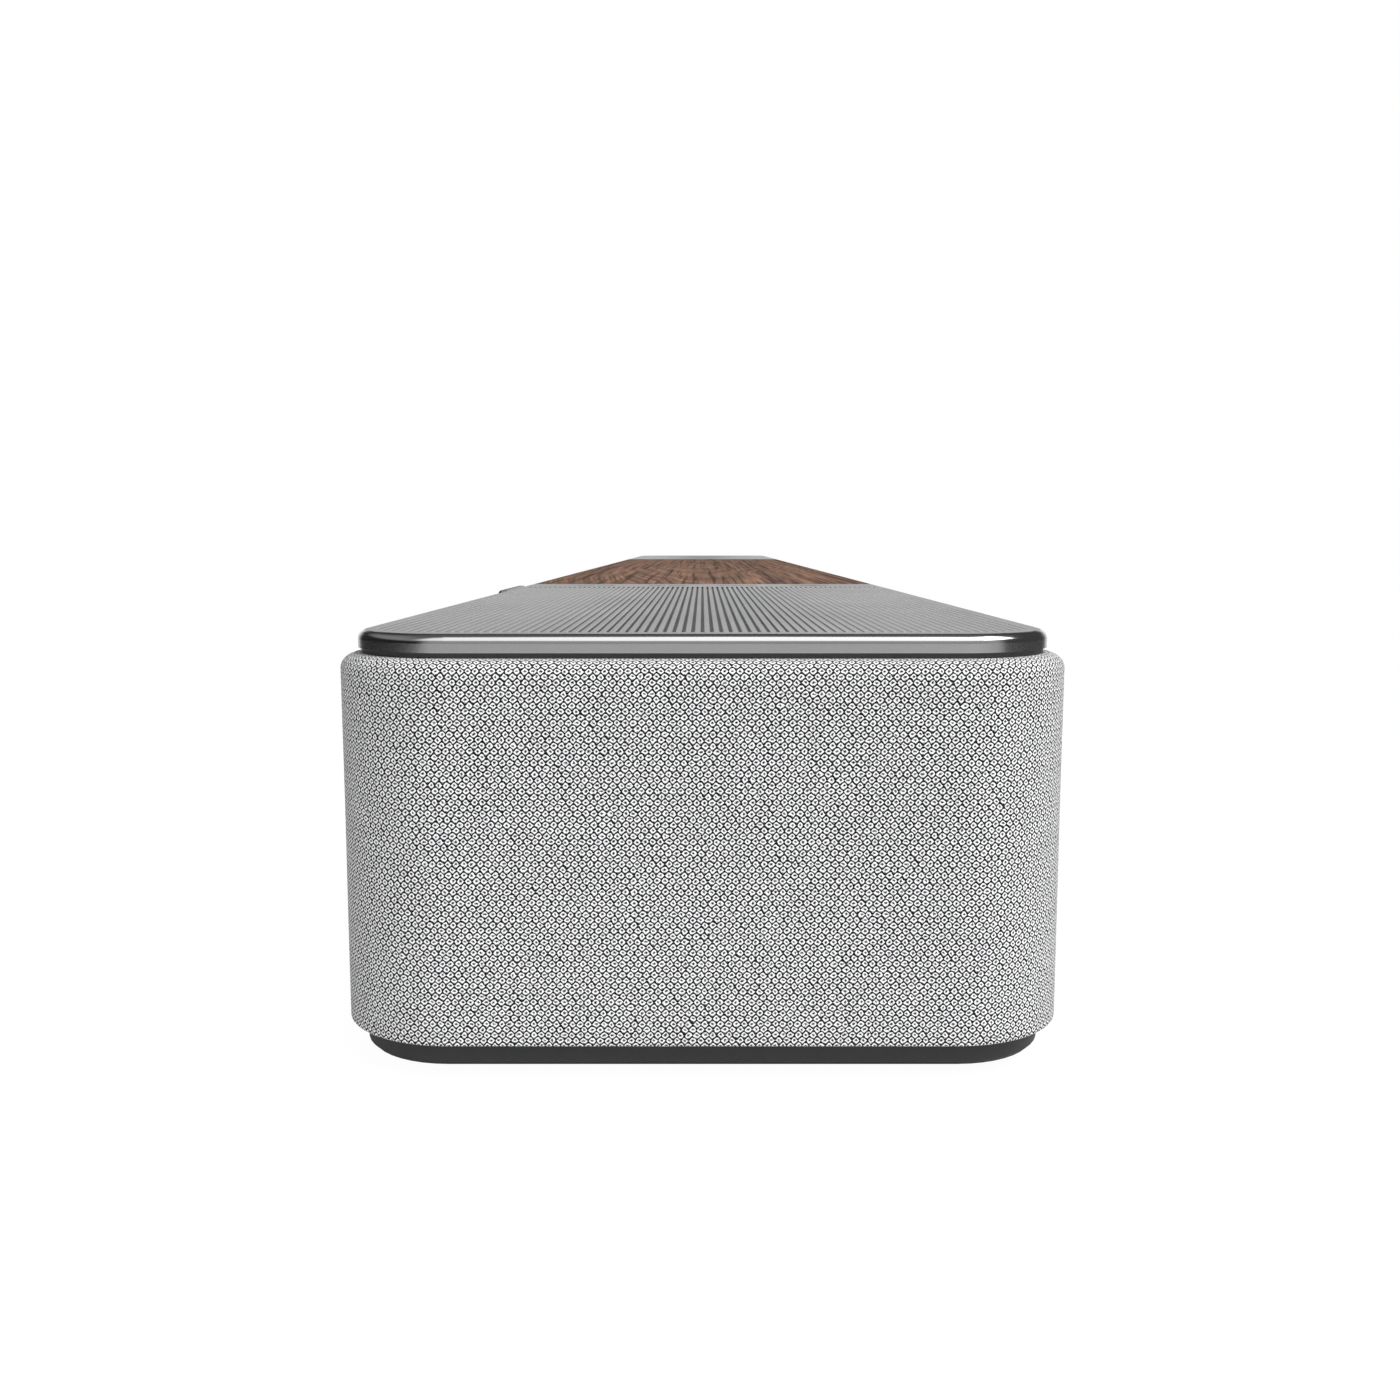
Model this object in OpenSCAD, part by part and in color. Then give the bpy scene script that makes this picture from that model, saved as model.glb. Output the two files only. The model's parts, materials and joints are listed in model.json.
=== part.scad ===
// Soundbar with two grooved metal end plates, a wooden centre panel and a fabric-covered cabinet.
// X runs along the bar, -Y is the front that faces the room, +Z is up.
// The origin is on the shelf, under the middle of the bar. Millimetres.

/* [Overall size] */
// Length over the fabric
bar_l = 1121; // [1115:1:1130]
// Depth over the fabric
bar_d = 125; // [124:0.5:128]
// Height from the shelf to the top of the plates
bar_h = 74.35; // [74:0.05:76]
// Corner radius of the fabric, seen from above
corner_r = 20.6; // [20:0.1:22]

/* [Fabric and frame] */
// Thickness of the knitted cover
fabric_t = 1; // [0.8:0.1:1]
// Wall thickness of the frame that carries the cover
frame_t = 1.8; // [1.6:0.1:1.8]
// Radius of the cover's top edge
fabric_round = 3; // [2.5:0.1:3.2]
// How far the cover turns in over the top
fabric_lip = 8; // [7:0.5:8.5]

/* [Top plates] */
// Thickness of the plates
plate_t = 3.05; // [3:0.05:3.2]
// Distance from the fabric's face in to the plate's edge
plate_inset = 3.05; // [2.8:0.05:3.4]
// Radius of the plates' top edge
plate_fillet = 1.55; // [1.2:0.05:1.6]
// Height of the dark gap between fabric and plates
reveal_h = 1.3; // [1.2:0.05:1.5]
// Length of the wooden panel
wood_l = 609.5; // [600:0.5:615]
// Joint line between the wood and each plate
seam = 0.1; // [0.05:0.05:0.2]
// Distance from groove to groove
groove_pitch = 1.583; // [1.5:0.001:1.6]
// Number of grooves side by side, an odd number
groove_count = 71; // [69:2:71]
// Width of a groove at the top
groove_w = 0.74; // [0.7:0.02:1]
// Width of a groove at its floor
groove_floor_w = 0.4; // [0.3:0.02:0.5]
// Depth of a groove
groove_depth = 0.4; // [0.4:0.05:0.6]
// Plain margin at the end of the grooves
groove_margin = 5.5; // [5:0.1:7]
// Plain strip for the buttons, next to the wood
strip_w = 30.1; // [28:0.1:31]

/* [Buttons] */
// Diameter of a button
button_d = 12; // [10:0.5:12]
// Distance from button to button
button_pitch = 23.7; // [22:0.1:24]
// How far a button goes down
button_travel = 0.5; // [0.3:0.05:0.5]
// Clearance round a button
button_gap = 0.15; // [0.12:0.01:0.2]

/* [Base] */
// Height of the feet under the tray
foot_h = 2; // [2:0.1:2.2]
// Diameter of a foot
foot_d = 18; // [14:1:18]
// Thickness of the tray
tray_t = 4; // [4:0.1:4.2]
// Distance from the fabric's face in to the tray's edge
tray_inset = 3.2; // [3:0.1:3.8]

/* [Cabinet] */
// Wall thickness of the cabinet
wall = 3; // [2.8:0.1:3]
// Thickness of the front baffle
baffle_t = 4; // [3.8:0.1:4]
// Distance from the middle to the walls of the electronics bay
bay_x = 170; // [168:1:172]

/* [Loudspeakers] */
// Places of the two woofers on each side
woofer_places = [270, 362];
// Place of the tweeter on each side
tweeter_x = 460; // [450:1:480]
// Radius of a woofer's mounting flange
woofer_r = 28; // [27:0.1:28]
// Radius of a tweeter's face plate
tweeter_r = 20; // [19:0.1:20]

/* [Back] */
// Length of the plain back panel between the fabric's ends
rear_l = 940; // [930:1:950]
// Place of the air port on each side
port_x = 430; // [425:1:435]
// Outer radius of the port tubes
port_r = 16; // [15:0.1:16]
// Place of the threaded wall insert on each side
insert_x = 380; // [375:1:385]
// Height of the wall inserts
insert_z = 38; // [36:0.5:40]
// Radius of the threaded hole in a wall insert
insert_hole_r = 1.65; // [1.6:0.01:1.7]
// Length of the recess that holds the sockets
socket_bay_l = 220; // [218:1:222]
// Height of that recess
socket_bay_h = 36; // [35:0.5:37]
// Depth of that recess
socket_bay_depth = 22; // [21:0.5:22]

/* [Hidden] */
$fn = 48;
hair = 0.3;                                   // clearance between neighbours that don't touch
over = 1;                                     // how far a cutter runs past a face

// Colours
c_fabric = [0.66, 0.66, 0.66];
c_plate = [0.62, 0.62, 0.62];
c_wood = [0.50, 0.37, 0.30];
c_black = [0.10, 0.10, 0.10];
c_base = [0.21, 0.21, 0.21];
c_steel = [0.72, 0.72, 0.73];
c_dark_metal = [0.25, 0.25, 0.26];
c_brass = [0.78, 0.64, 0.33];
c_rubber = [0.07, 0.07, 0.07];
c_board = [0.06, 0.27, 0.16];
c_chip = [0.08, 0.08, 0.09];
c_cone = [0.16, 0.16, 0.17];
c_copper = [0.62, 0.35, 0.20];

// Heights, from the shelf up
tray_top = foot_h + tray_t;
fabric_bottom = tray_top + 0.5;
plate_bottom = bar_h - plate_t;
fabric_top = plate_bottom - reveal_h;
deck_bottom = fabric_top - 6.5;
deck_top = fabric_top - 3.2;
driver_z = (tray_top + deck_bottom) / 2;

// The top plates share one outline
plate_l = bar_l - 2 * plate_inset;
plate_d = bar_d - 2 * plate_inset;
plate_r = corner_r - plate_inset;

// The deck inside the frame, and its raised middle, which the plates lie on
deck_inset = fabric_t + frame_t + 0.6;
plinth_inset = fabric_lip + 1.6;
collar_inset = plate_inset + 0.6;
collar_bottom = fabric_top + 0.5;
plinth_l = bar_l - 2 * plinth_inset;
plinth_d = bar_d - 2 * plinth_inset;
plinth_r = corner_r - plinth_inset;

// The cabinet inside the frame
cab_l = bar_l - 23;
cab_d = bar_d - 7;
cab_r = 14;
cab_back = cab_d / 2;
baffle_front = -bar_d / 2 + 10.5;
baffle_back = baffle_front + baffle_t;
floor_top = tray_top + wall;

// The grille frame: its windows, and where its three lengths meet
window_w = 34;
window_pitch = 40;
frame_joint_x = 12.5 * window_pitch;

// The back panel
rear_face = bar_d / 2 - 1;
rear_t = 2.3;
bay_wall = 2;
bay_floor = floor_top + 5;
bay_back = rear_face - socket_bay_depth;
bay_mid_z = bay_floor + socket_bay_h / 2;

// Buttons
button_x = wood_l / 2 + strip_w / 2;
button_places = [-1.5, -0.5, 0.5, 1.5];
button_edge = 0.2;
mark_l = 6;
mark_w = 0.7;
mark_depth = 0.12;
source_mark_h = 4.7;
power_mark_r = 2.85;
power_mark_gap = 2.6;
flange_r = button_d / 2 + 1;
flange_t = 1;
flange_top = plate_bottom - hair;
stem_r = 2;
stem_bottom = flange_top - flange_t - 3.8;
button_board_z = stem_bottom - 8.3;
board_t = 1.6;
button_post_y = 41.8;

// Screws under the plates
plate_screw_x = [350, 445, 540];
plate_screw_y = 40;
stud_r = 3;
stud_h = 3.8;

// Screws through the tray
case_screw_x = [140, 310, 520];
case_screw_y = 44;
boss_top = floor_top + 11;

// Screws through the baffle and through the back panel
baffle_screw_x = [bay_x, cab_l / 2 - 7.5];
baffle_screw_z = [tray_top + 9, deck_bottom - 9];
rear_screw_x = [200, 300, 455];
rear_screw_z = [tray_top + 7, deck_bottom - 4];

// Circuit boards
board_z = floor_top + 11;
board_top = board_z + board_t;
main_board_x = [-150, 40];
power_board_x = [60, 160];
board_y = [-38, 36];
board_hole_in = 7;

// Sockets in the recess at the back: their places along the bar
hdmi_x = [-90, -65];
optical_x = -38;
usb_x = -12;
aux_x = 12;
inlet_x = 85;
inlet_z = board_top + 7;

// Speaker wires: radius, plugs on the main board, and the drop between the two boards.
// The right loudspeakers' wires lie one side step behind the left ones, so that they never cross
wire_r = 0.8;
wire_start_x = [25, 31];
wire_plug_h = 6;
wire_drop_x = [53, 47];
wire_y = [15, 19, 23];
wire_side_step = 2;

// Front display, behind the fabric
display_l = 130;
display_h = 24;
display_board_y = baffle_front - 2.1;

// Badge at the front edge of the right plate
badge_x = [320, 359.5];
badge_drop = 16;
badge_t = 0.9;
badge_round = 1.4;
badge_corner_r = 1.2;
badge_depth = 12;

// Woofer, measured from the baffle's front face, positive to the front
w_flange_t = 2.2;
w_hole_r = 24.2;
w_throat_r = 22;
w_screw_r = 25.4;
w_basket_depth = 20;
w_magnet_r = 21;
w_cone_r = 19.4;
w_coil_r = 11.2;
w_gap_r = 11.8;
w_pole_r = 10;

// Tweeter, measured the same way
t_flange_t = 2;
t_hole_r = 16.5;
t_screw_r = 17.4;
t_dome_r = 9.5;

// ---------------------------------------------------------------- shared shapes

// Rounded rectangle, seen from above
module plan(l, d, r) {
    square([l - 2 * r, d], center = true);
    square([l, d - 2 * r], center = true);
    for (sx = [-1, 1], sy = [-1, 1])
        translate([sx * (l / 2 - r), sy * (d / 2 - r)])
            circle(r = r);
}

// Upright block with that outline, from height z0 to z1
module prism(l, d, r, z0, z1) {
    translate([0, 0, z0])
        linear_extrude(z1 - z0)
            plan(l, d, r);
}

// Box given by its lowest and highest corners
module span(low, high) {
    translate(low)
        cube(high - low);
}

// Sweeps a section round a rounded rectangle. The section has x = 0 at the outer face.
module sweep_round(l, d, r) {
    for (k = [0 : 3]) {
        a = k % 2 == 0 ? l / 2 : d / 2;
        b = k % 2 == 0 ? d / 2 : l / 2;
        rotate([0, 0, 90 * k]) {
            translate([a, b - r, 0])
                rotate([90, 0, 0])
                    linear_extrude(2 * (b - r))
                        children();
            translate([a - r, b - r, 0])
                rotate_extrude(angle = 90)
                    translate([r, 0])
                        children();
        }
    }
}

// Section of a slab's edge with a rounded top corner
module slab_edge(width, z0, z1, fillet) {
    translate([-width, z0])
        square([width, z1 - z0 - fillet]);
    translate([-width, z1 - fillet])
        square([width - fillet, fillet]);
    translate([-fillet, z1 - fillet])
        intersection() {
            circle(r = fillet);
            square(fillet);
        }
}

// Section of a wall that turns in at the top, with a rounded corner
module hooked_wall(t, z0, z1, round, lip) {
    translate([-t, z0])
        square([t, z1 - z0 - round]);
    translate([-lip, z1 - t])
        square([lip - round, t]);
    translate([-round, z1 - round])
        intersection() {
            difference() {
                circle(r = round);
                circle(r = round - t);
            }
            square(round);
        }
}

// Screw with its head's outer face at z = 0 and its tip up
module screw(head_r, head_h, shank_r, length, countersunk) {
    slot_w = head_r * 0.3;
    difference() {
        union() {
            cylinder(h = head_h, r1 = head_r, r2 = countersunk ? shank_r : head_r);
            cylinder(h = length, r = shank_r);
        }
        for (a = [0, 90])
            rotate([0, 0, a])
                translate([-head_r * 0.6, -slot_w / 2, -over])
                    cube([head_r * 1.2, slot_w, head_h * 0.6 + over]);
    }
}

// Turns +Z to the front, -Y, and puts the origin on the baffle's front face
module on_baffle(x) {
    translate([x, baffle_front, driver_z])
        rotate([90, 0, 0])
            children();
}

// Turns +Z to the back, +Y
module to_back() {
    rotate([-90, 0, 0])
        children();
}

// ---------------------------------------------------------------- base

module base_tray() {
    l = bar_l - 2 * tray_inset;
    d = bar_d - 2 * tray_inset;
    r = corner_r - tray_inset - 0.8;
    chamfer = 0.8;
    edge = 8;
    color(c_base)
        difference() {
            union() {
                sweep_round(l, d, r)
                    polygon([[-edge, foot_h], [-chamfer, foot_h], [0, foot_h + chamfer],
                             [0, tray_top], [-edge, tray_top]]);
                prism(l - 2 * edge, d - 2 * edge, r - edge, foot_h, tray_top);
            }
            at_feet()
                translate([0, 0, foot_h - over])
                    cylinder(h = over + 1, r = foot_d / 2 + 0.2);
            at_case_screws() {
                translate([0, 0, foot_h - over])
                    cylinder(h = tray_t + 2 * over, r = 1.7);
                translate([0, 0, foot_h])
                    cylinder(h = 1.9, r1 = 3.4, r2 = 1.7);
                translate([0, 0, foot_h - over])
                    cylinder(h = over, r = 3.4);
            }
            floor_vents(foot_h, tray_top);
        }
}

module at_feet() {
    for (x = [-460, 0, 460], s = [-1, 1])
        translate([x, s * 42, 0])
            children();
}

module at_case_screws() {
    for (x = case_screw_x, sx = [-1, 1], sy = [-1, 1])
        translate([sx * x, sy * case_screw_y, 0])
            children();
}

// Slots in the floor under the electronics
module floor_vents(z0, z1) {
    for (k = [-6 : 6])
        translate([k * 8, 0, (z0 + z1) / 2])
            cube([3, 34, z1 - z0 + 2 * over], center = true);
}

module rubber_feet() {
    color(c_rubber)
        at_feet()
            rotate_extrude()
                polygon([[0, 0], [foot_d / 2 - 0.6, 0], [foot_d / 2, 0.6],
                         [foot_d / 2, foot_h + 1], [0, foot_h + 1]]);
}

module case_screws() {
    color(c_steel)
        at_case_screws()
            translate([0, 0, foot_h + 0.3])
                screw(2.9, 1.5, 1.4, 14, true);
}

// ---------------------------------------------------------------- cabinet

module cabinet_shell() {
    color(c_black)
        difference() {
            union() {
                difference() {
                    prism(cab_l, cab_d, cab_r, tray_top, deck_bottom);
                    prism(cab_l - 2 * wall, cab_d - 2 * wall, cab_r - wall,
                          floor_top, deck_bottom + over);
                }
                for (s = [-1, 1])
                    span([s * bay_x - wall / 2, baffle_back - over, floor_top - over],
                         [s * bay_x + wall / 2, cab_back - over, deck_bottom]);
                at_case_screws()
                    translate([0, 0, floor_top - over])
                        cylinder(h = boss_top - floor_top + over, r = 3.5);
                at_board_screws()
                    translate([0, 0, floor_top - over])
                        cylinder(h = board_z - floor_top + over, r = 3.5);
                for (x = baffle_screw_x, z = baffle_screw_z, s = [-1, 1])
                    translate([s * x, baffle_back, z])
                        to_back()
                            cylinder(h = 12, r = 5);
                at_wall_inserts()
                    translate([0, -13.5, 0])
                        to_back()
                            cylinder(h = 10, r = 6);
            }
            span([-bar_l, -bar_d, floor_top - 10], [bar_l, baffle_back, deck_bottom + over]);
            at_case_screws()
                translate([0, 0, tray_top - over])
                    cylinder(h = boss_top - tray_top, r = 1.45);
            at_board_screws()
                translate([0, 0, board_z - 9])
                    cylinder(h = 9 + over, r = 1.45);
            for (x = baffle_screw_x, z = baffle_screw_z, s = [-1, 1])
                translate([s * x, baffle_back - over, z])
                    to_back()
                        cylinder(h = 11, r = 1.45);
            at_wall_inserts()
                translate([0, -12.2, 0])
                    to_back()
                        cylinder(h = 14, r = 3.52);
            at_rear_screws()
                translate([0, -8, 0])
                    to_back()
                        cylinder(h = 10, r = 1.15);
            at_ports()
                translate([0, -10, 0])
                    to_back()
                        cylinder(h = 14, r = port_r + 0.2);
            span([-socket_bay_l / 2 - bay_wall - 0.4, cab_back - wall - over, bay_floor - bay_wall - 0.4],
                 [socket_bay_l / 2 + bay_wall + 0.4, cab_back + over,
                  bay_floor + socket_bay_h + bay_wall + 0.4]);
            for (s = [-1, 1])
                translate([s * 143, cab_back - wall / 2, bay_mid_z + 3])
                    cube([40, wall + 2 * over, 34], center = true);
            floor_vents(tray_top, floor_top);
            for (s = [-1, 1])
                translate([s * bay_x, 20, floor_top + 4])
                    cube([wall + 2 * over, 14, 6], center = true);
            translate([bay_x, 48, deck_bottom - 6])
                cube([wall + 2 * over, 10, 14], center = true);
        }
}

module at_wall_inserts() {
    for (s = [-1, 1])
        translate([s * insert_x, rear_face, insert_z])
            children();
}

module at_rear_screws() {
    for (x = rear_screw_x, z = rear_screw_z, s = [-1, 1])
        translate([s * x, rear_face, z])
            children();
}

module at_ports() {
    for (s = [-1, 1])
        translate([s * port_x, rear_face, driver_z])
            children();
}

module at_board_screws() {
    for (bx = [main_board_x, power_board_x], i = [0, 1], j = [0, 1])
        translate([bx[i] + (i == 0 ? 1 : -1) * board_hole_in,
                   board_y[j] + (j == 0 ? 1 : -1) * board_hole_in, 0])
            children();
}

module front_baffle() {
    color(c_black)
        difference() {
            span([-cab_l / 2 + 1, baffle_front, tray_top], [cab_l / 2 - 1, baffle_back, deck_bottom]);
            for (s = [-1, 1]) {
                for (x = woofer_places)
                    on_baffle(s * x) {
                        translate([0, 0, -baffle_t - over])
                            cylinder(h = baffle_t + 2 * over, r = w_hole_r);
                        ring_of(4, w_screw_r)
                            translate([0, 0, -baffle_t - over])
                                cylinder(h = baffle_t + 2 * over, r = 1.15);
                    }
                on_baffle(s * tweeter_x) {
                    translate([0, 0, -baffle_t - over])
                        cylinder(h = baffle_t + 2 * over, r = t_hole_r);
                    ring_of(4, t_screw_r + 0.6)
                        translate([0, 0, -baffle_t - over])
                            cylinder(h = baffle_t + 2 * over, r = 0.85);
                }
            }
            for (x = baffle_screw_x, z = baffle_screw_z, s = [-1, 1])
                translate([s * x, baffle_front - over, z])
                    to_back()
                        cylinder(h = baffle_t + 2 * over, r = 1.6);
        }
}

// Puts a child at each of count places round a circle, starting between the axes
module ring_of(count, r) {
    for (k = [0 : count - 1])
        rotate([0, 0, 45 + 360 * k / count])
            translate([r, 0, 0])
                children();
}

module baffle_screws() {
    color(c_steel)
        for (x = baffle_screw_x, z = baffle_screw_z, s = [-1, 1])
            translate([s * x, baffle_front - 1.6, z])
                to_back()
                    screw(2.8, 1.6, 1.4, 14, false);
}

// The deck carries the plates on a plinth. A thin collar closes the shadow gap over the fabric's lip.
module top_deck() {
    color(c_black)
        difference() {
            union() {
                prism(bar_l - 2 * deck_inset, bar_d - 2 * deck_inset, corner_r - deck_inset,
                      deck_bottom, deck_top);
                prism(plinth_l, plinth_d, plinth_r, deck_top - 0.5, plate_bottom);
                prism(bar_l - 2 * collar_inset, bar_d - 2 * collar_inset, corner_r - collar_inset,
                      collar_bottom, plate_bottom);
                for (s = [-1, 1])
                    translate([button_x, s * button_post_y, 0]) {
                        translate([0, 0, button_board_z])
                            cylinder(h = deck_bottom - button_board_z + 0.5, r = 2);
                        translate([0, 0, button_board_z - board_t - 0.8])
                            cylinder(h = 4, r = 1.1);
                    }
            }
            at_plate_screws() {
                translate([0, 0, plate_bottom - stud_h - 0.2])
                    cylinder(h = stud_h + 0.2 + over, r = stud_r + 0.2);
                translate([0, 0, deck_bottom - over])
                    cylinder(h = 10, r = 1.4);
            }
            at_buttons() {
                translate([0, 0, flange_top - flange_t - button_travel - 0.6])
                    cylinder(h = 10, r = flange_r + 0.5);
                translate([0, 0, deck_bottom - over])
                    cylinder(h = 12, r = stem_r + 0.5);
            }
            span([badge_x[0] - hair, -bar_d, collar_bottom - over],
                 [badge_x[1] + hair, -plinth_d / 2 + 0.2, plate_bottom + over]);
            translate([0, 0, plate_bottom - 0.3])
                linear_extrude(over)
                    square([wood_l - 8, plinth_d - 8], center = true);
        }
}

module at_plate_screws() {
    for (x = plate_screw_x, sx = [-1, 1], sy = [-1, 1])
        translate([sx * x, sy * plate_screw_y, 0])
            children();
}

module at_buttons() {
    for (place = button_places)
        translate([button_x, place * button_pitch, 0])
            children();
}

module plate_screws() {
    color(c_steel)
        at_plate_screws()
            translate([0, 0, deck_bottom - 1.6])
                screw(2.4, 1.6, 1.2, 8.4, false);
}

// ---------------------------------------------------------------- fabric and its frame

// Space between the fabric's two ends at the back
module rear_opening(inset) {
    span([-rear_l / 2 - inset, bar_d / 2 - fabric_lip - 2, 0],
         [rear_l / 2 + inset, bar_d / 2 + over, bar_h]);
}

// The whole run of the frame that the fabric is stretched over, with its windows
module grille_run() {
    z0 = fabric_bottom + 6;
    z1 = fabric_top - 8;
    difference() {
        sweep_round(bar_l - 2 * fabric_t, bar_d - 2 * fabric_t, corner_r - fabric_t)
            hooked_wall(frame_t, tray_top, fabric_top - fabric_t,
                        fabric_round - fabric_t, fabric_lip - fabric_t);
        rear_opening(hair);
        for (k = [-13 : 13])
            span([k * window_pitch - window_w / 2, -bar_d / 2 - over, z0],
                 [k * window_pitch + window_w / 2, -bar_d / 2 + 4, z1]);
        for (s = [-1, 1], k = [-0.5, 0.5])
            translate([s * (bar_l / 2 - 2), k * window_pitch, (z0 + z1) / 2])
                cube([6, window_w, z1 - z0], center = true);
        span([badge_x[0] - 0.5, -bar_d / 2 - over, fabric_top - 4],
             [badge_x[1] + 0.5, -bar_d / 2 + badge_t + 0.1, bar_h]);
    }
}

// The frame is moulded in three lengths, which meet on a bar between two windows
module grille_frame_front() {
    color(c_black)
        intersection() {
            grille_run();
            span([-frame_joint_x, -bar_d, 0], [frame_joint_x, 0, bar_h]);
        }
}

module grille_frame_end(side) {
    color(c_black)
        difference() {
            intersection() {
                grille_run();
                span([min(0, side * bar_l), -bar_d, 0], [max(0, side * bar_l), bar_d, bar_h]);
            }
            span([-frame_joint_x - hair, -bar_d, -over], [frame_joint_x + hair, 0, bar_h]);
        }
}

module grille_frame_right() {
    grille_frame_end(1);
}

module grille_frame_left() {
    grille_frame_end(-1);
}

module grille_fabric() {
    color(c_fabric)
        difference() {
            sweep_round(bar_l, bar_d, corner_r)
                hooked_wall(fabric_t, fabric_bottom, fabric_top, fabric_round, fabric_lip);
            rear_opening(0);
            span([badge_x[0] - hair, -bar_d / 2 - over, bar_h - badge_drop - hair],
                 [badge_x[1] + hair, -bar_d / 2 + fabric_t + 0.1, bar_h]);
        }
}

// ---------------------------------------------------------------- top plates

// The outline that both end plates and the wood are cut from
module top_slab() {
    sweep_round(plate_l, plate_d, plate_r)
        slab_edge(plate_r - 1, plate_bottom, bar_h, plate_fillet);
    prism(plate_l - 2 * plate_r + 2, plate_d - 2 * plate_r + 2, 1, plate_bottom, bar_h);
}

// Where a groove ends near the plate's rounded corner, by its distance from the middle line
function groove_end(y) =
    let (past = max(0, abs(y) - (plate_d / 2 - plate_r)))
    let (reach = plate_r - groove_margin)
    plate_l / 2 - plate_r + reach * sqrt(1 - pow(past / 14.5, 2));

module grooves(start) {
    half = (groove_count - 1) / 2;
    for (n = [-half : half])
        translate([start, n * groove_pitch, bar_h])
            rotate([90, 0, 90])
                linear_extrude(groove_end(n * groove_pitch) - start)
                    polygon([[-groove_w / 2, 0], [-groove_w / 2, over], [groove_w / 2, over],
                             [groove_w / 2, 0], [groove_floor_w / 2, -groove_depth],
                             [-groove_floor_w / 2, -groove_depth]]);
}

// Right end plate. The left one is its mirror image, without buttons.
module end_plate(groove_start) {
    difference() {
        union() {
            intersection() {
                top_slab();
                span([wood_l / 2 + seam, -bar_d, 0], [bar_l, bar_d, bar_h + over]);
            }
            for (x = plate_screw_x, s = [-1, 1])
                translate([x, s * plate_screw_y, plate_bottom - stud_h])
                    cylinder(h = stud_h + over, r = stud_r);
        }
        grooves(groove_start);
        for (x = plate_screw_x, s = [-1, 1])
            translate([x, s * plate_screw_y, plate_bottom - stud_h - over])
                cylinder(h = stud_h + 2 * over, r = 1.25);
    }
}

module end_plate_right() {
    color(c_plate)
        difference() {
            end_plate(wood_l / 2 + strip_w);
            at_buttons()
                translate([0, 0, plate_bottom - over])
                    cylinder(h = plate_t + 2 * over, r = button_d / 2 + button_gap);
        }
}

module end_plate_left() {
    color(c_plate)
        mirror([1, 0, 0])
            end_plate(wood_l / 2 - over);
}

module wood_panel() {
    color(c_wood)
        intersection() {
            top_slab();
            span([-wood_l / 2, -bar_d, 0], [wood_l / 2, bar_d, bar_h + over]);
        }
}

module wood_adhesive() {
    color([0.85, 0.85, 0.80])
        translate([0, 0, plate_bottom - 0.3])
            linear_extrude(0.3)
                square([wood_l - 9, plinth_d - 9], center = true);
}

// Plain metal tab: a tongue under the plate, a rounded edge in front and a leaf in the fabric's notch
module badge() {
    front = -bar_d / 2;
    plate_front = -plate_d / 2 - 0.1;
    bottom = plate_bottom - reveal_h + 0.1;
    top = bar_h - 0.05;
    edge = [for (a = [180 : -15 : 90])
        [front + badge_round * (1 + cos(a)), top + badge_round * (sin(a) - 1)]];
    section = concat([[front, bottom]], edge, [[plate_front, top], [plate_front, bottom]]);
    color(c_plate)
        union() {
            intersection() {
                union() {
                    translate([badge_x[0], 0, 0])
                        rotate([90, 0, 90])
                            linear_extrude(badge_x[1] - badge_x[0])
                                polygon(section);
                    span([badge_x[0], front, bar_h - badge_drop],
                         [badge_x[1], front + badge_t, bottom + 0.5]);
                }
                translate([(badge_x[0] + badge_x[1]) / 2, front + badge_depth / 2, 0])
                    prism(badge_x[1] - badge_x[0], badge_depth, badge_corner_r, 0, bar_h);
            }
            span([badge_x[0] + 4, plate_front - 1, bottom],
                 [badge_x[1] - 4, -plinth_d / 2 - hair, plate_bottom - 0.1]);
        }
}

// ---------------------------------------------------------------- buttons

module button_cap(place) {
    translate([button_x, place * button_pitch, 0])
        difference() {
            union() {
                translate([0, 0, bar_h - button_edge])
                    cylinder(h = button_edge, r1 = button_d / 2, r2 = button_d / 2 - button_edge);
                translate([0, 0, flange_top - over])
                    cylinder(h = bar_h - button_edge - flange_top + over, r = button_d / 2);
                translate([0, 0, flange_top - flange_t])
                    cylinder(h = flange_t, r = flange_r);
                translate([0, 0, stem_bottom])
                    cylinder(h = flange_top - stem_bottom, r = stem_r);
            }
            translate([0, 0, bar_h - mark_depth])
                linear_extrude(over)
                    children();
        }
}

module minus_mark() {
    square([mark_l, mark_w], center = true);
}

module plus_mark() {
    minus_mark();
    rotate(90)
        minus_mark();
}

// An open box with a line that runs into it
module source_mark() {
    for (s = [-1, 1])
        translate([mark_l / 2 - 4, s * source_mark_h / 2 - mark_w / 2])
            square([4, mark_w]);
    translate([mark_l / 2 - mark_w, -source_mark_h / 2])
        square([mark_w, source_mark_h]);
    translate([-mark_l / 2, -mark_w / 2])
        square([4, mark_w]);
}

// A ring, open to the back, with a line in the opening
module power_mark() {
    difference() {
        circle(r = power_mark_r);
        circle(r = power_mark_r - mark_w);
        translate([-power_mark_gap / 2, 0])
            square([power_mark_gap, power_mark_r + 1]);
    }
    translate([-mark_w / 2, 0.6])
        square([mark_w, power_mark_r]);
}

module volume_down_button() {
    color(c_plate)
        button_cap(button_places[0])
            minus_mark();
}

module volume_up_button() {
    color(c_plate)
        button_cap(button_places[1])
            plus_mark();
}

module source_button() {
    color(c_plate)
        button_cap(button_places[2])
            source_mark();
}

module power_button() {
    color(c_plate)
        button_cap(button_places[3])
            power_mark();
}

module button_board() {
    color(c_board)
        difference() {
            span([button_x - 10, -45, button_board_z - board_t], [button_x + 10, 52, button_board_z]);
            for (s = [-1, 1])
                translate([button_x, s * button_post_y, button_board_z - board_t - over])
                    cylinder(h = board_t + 2 * over, r = 1.2);
        }
}

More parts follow.
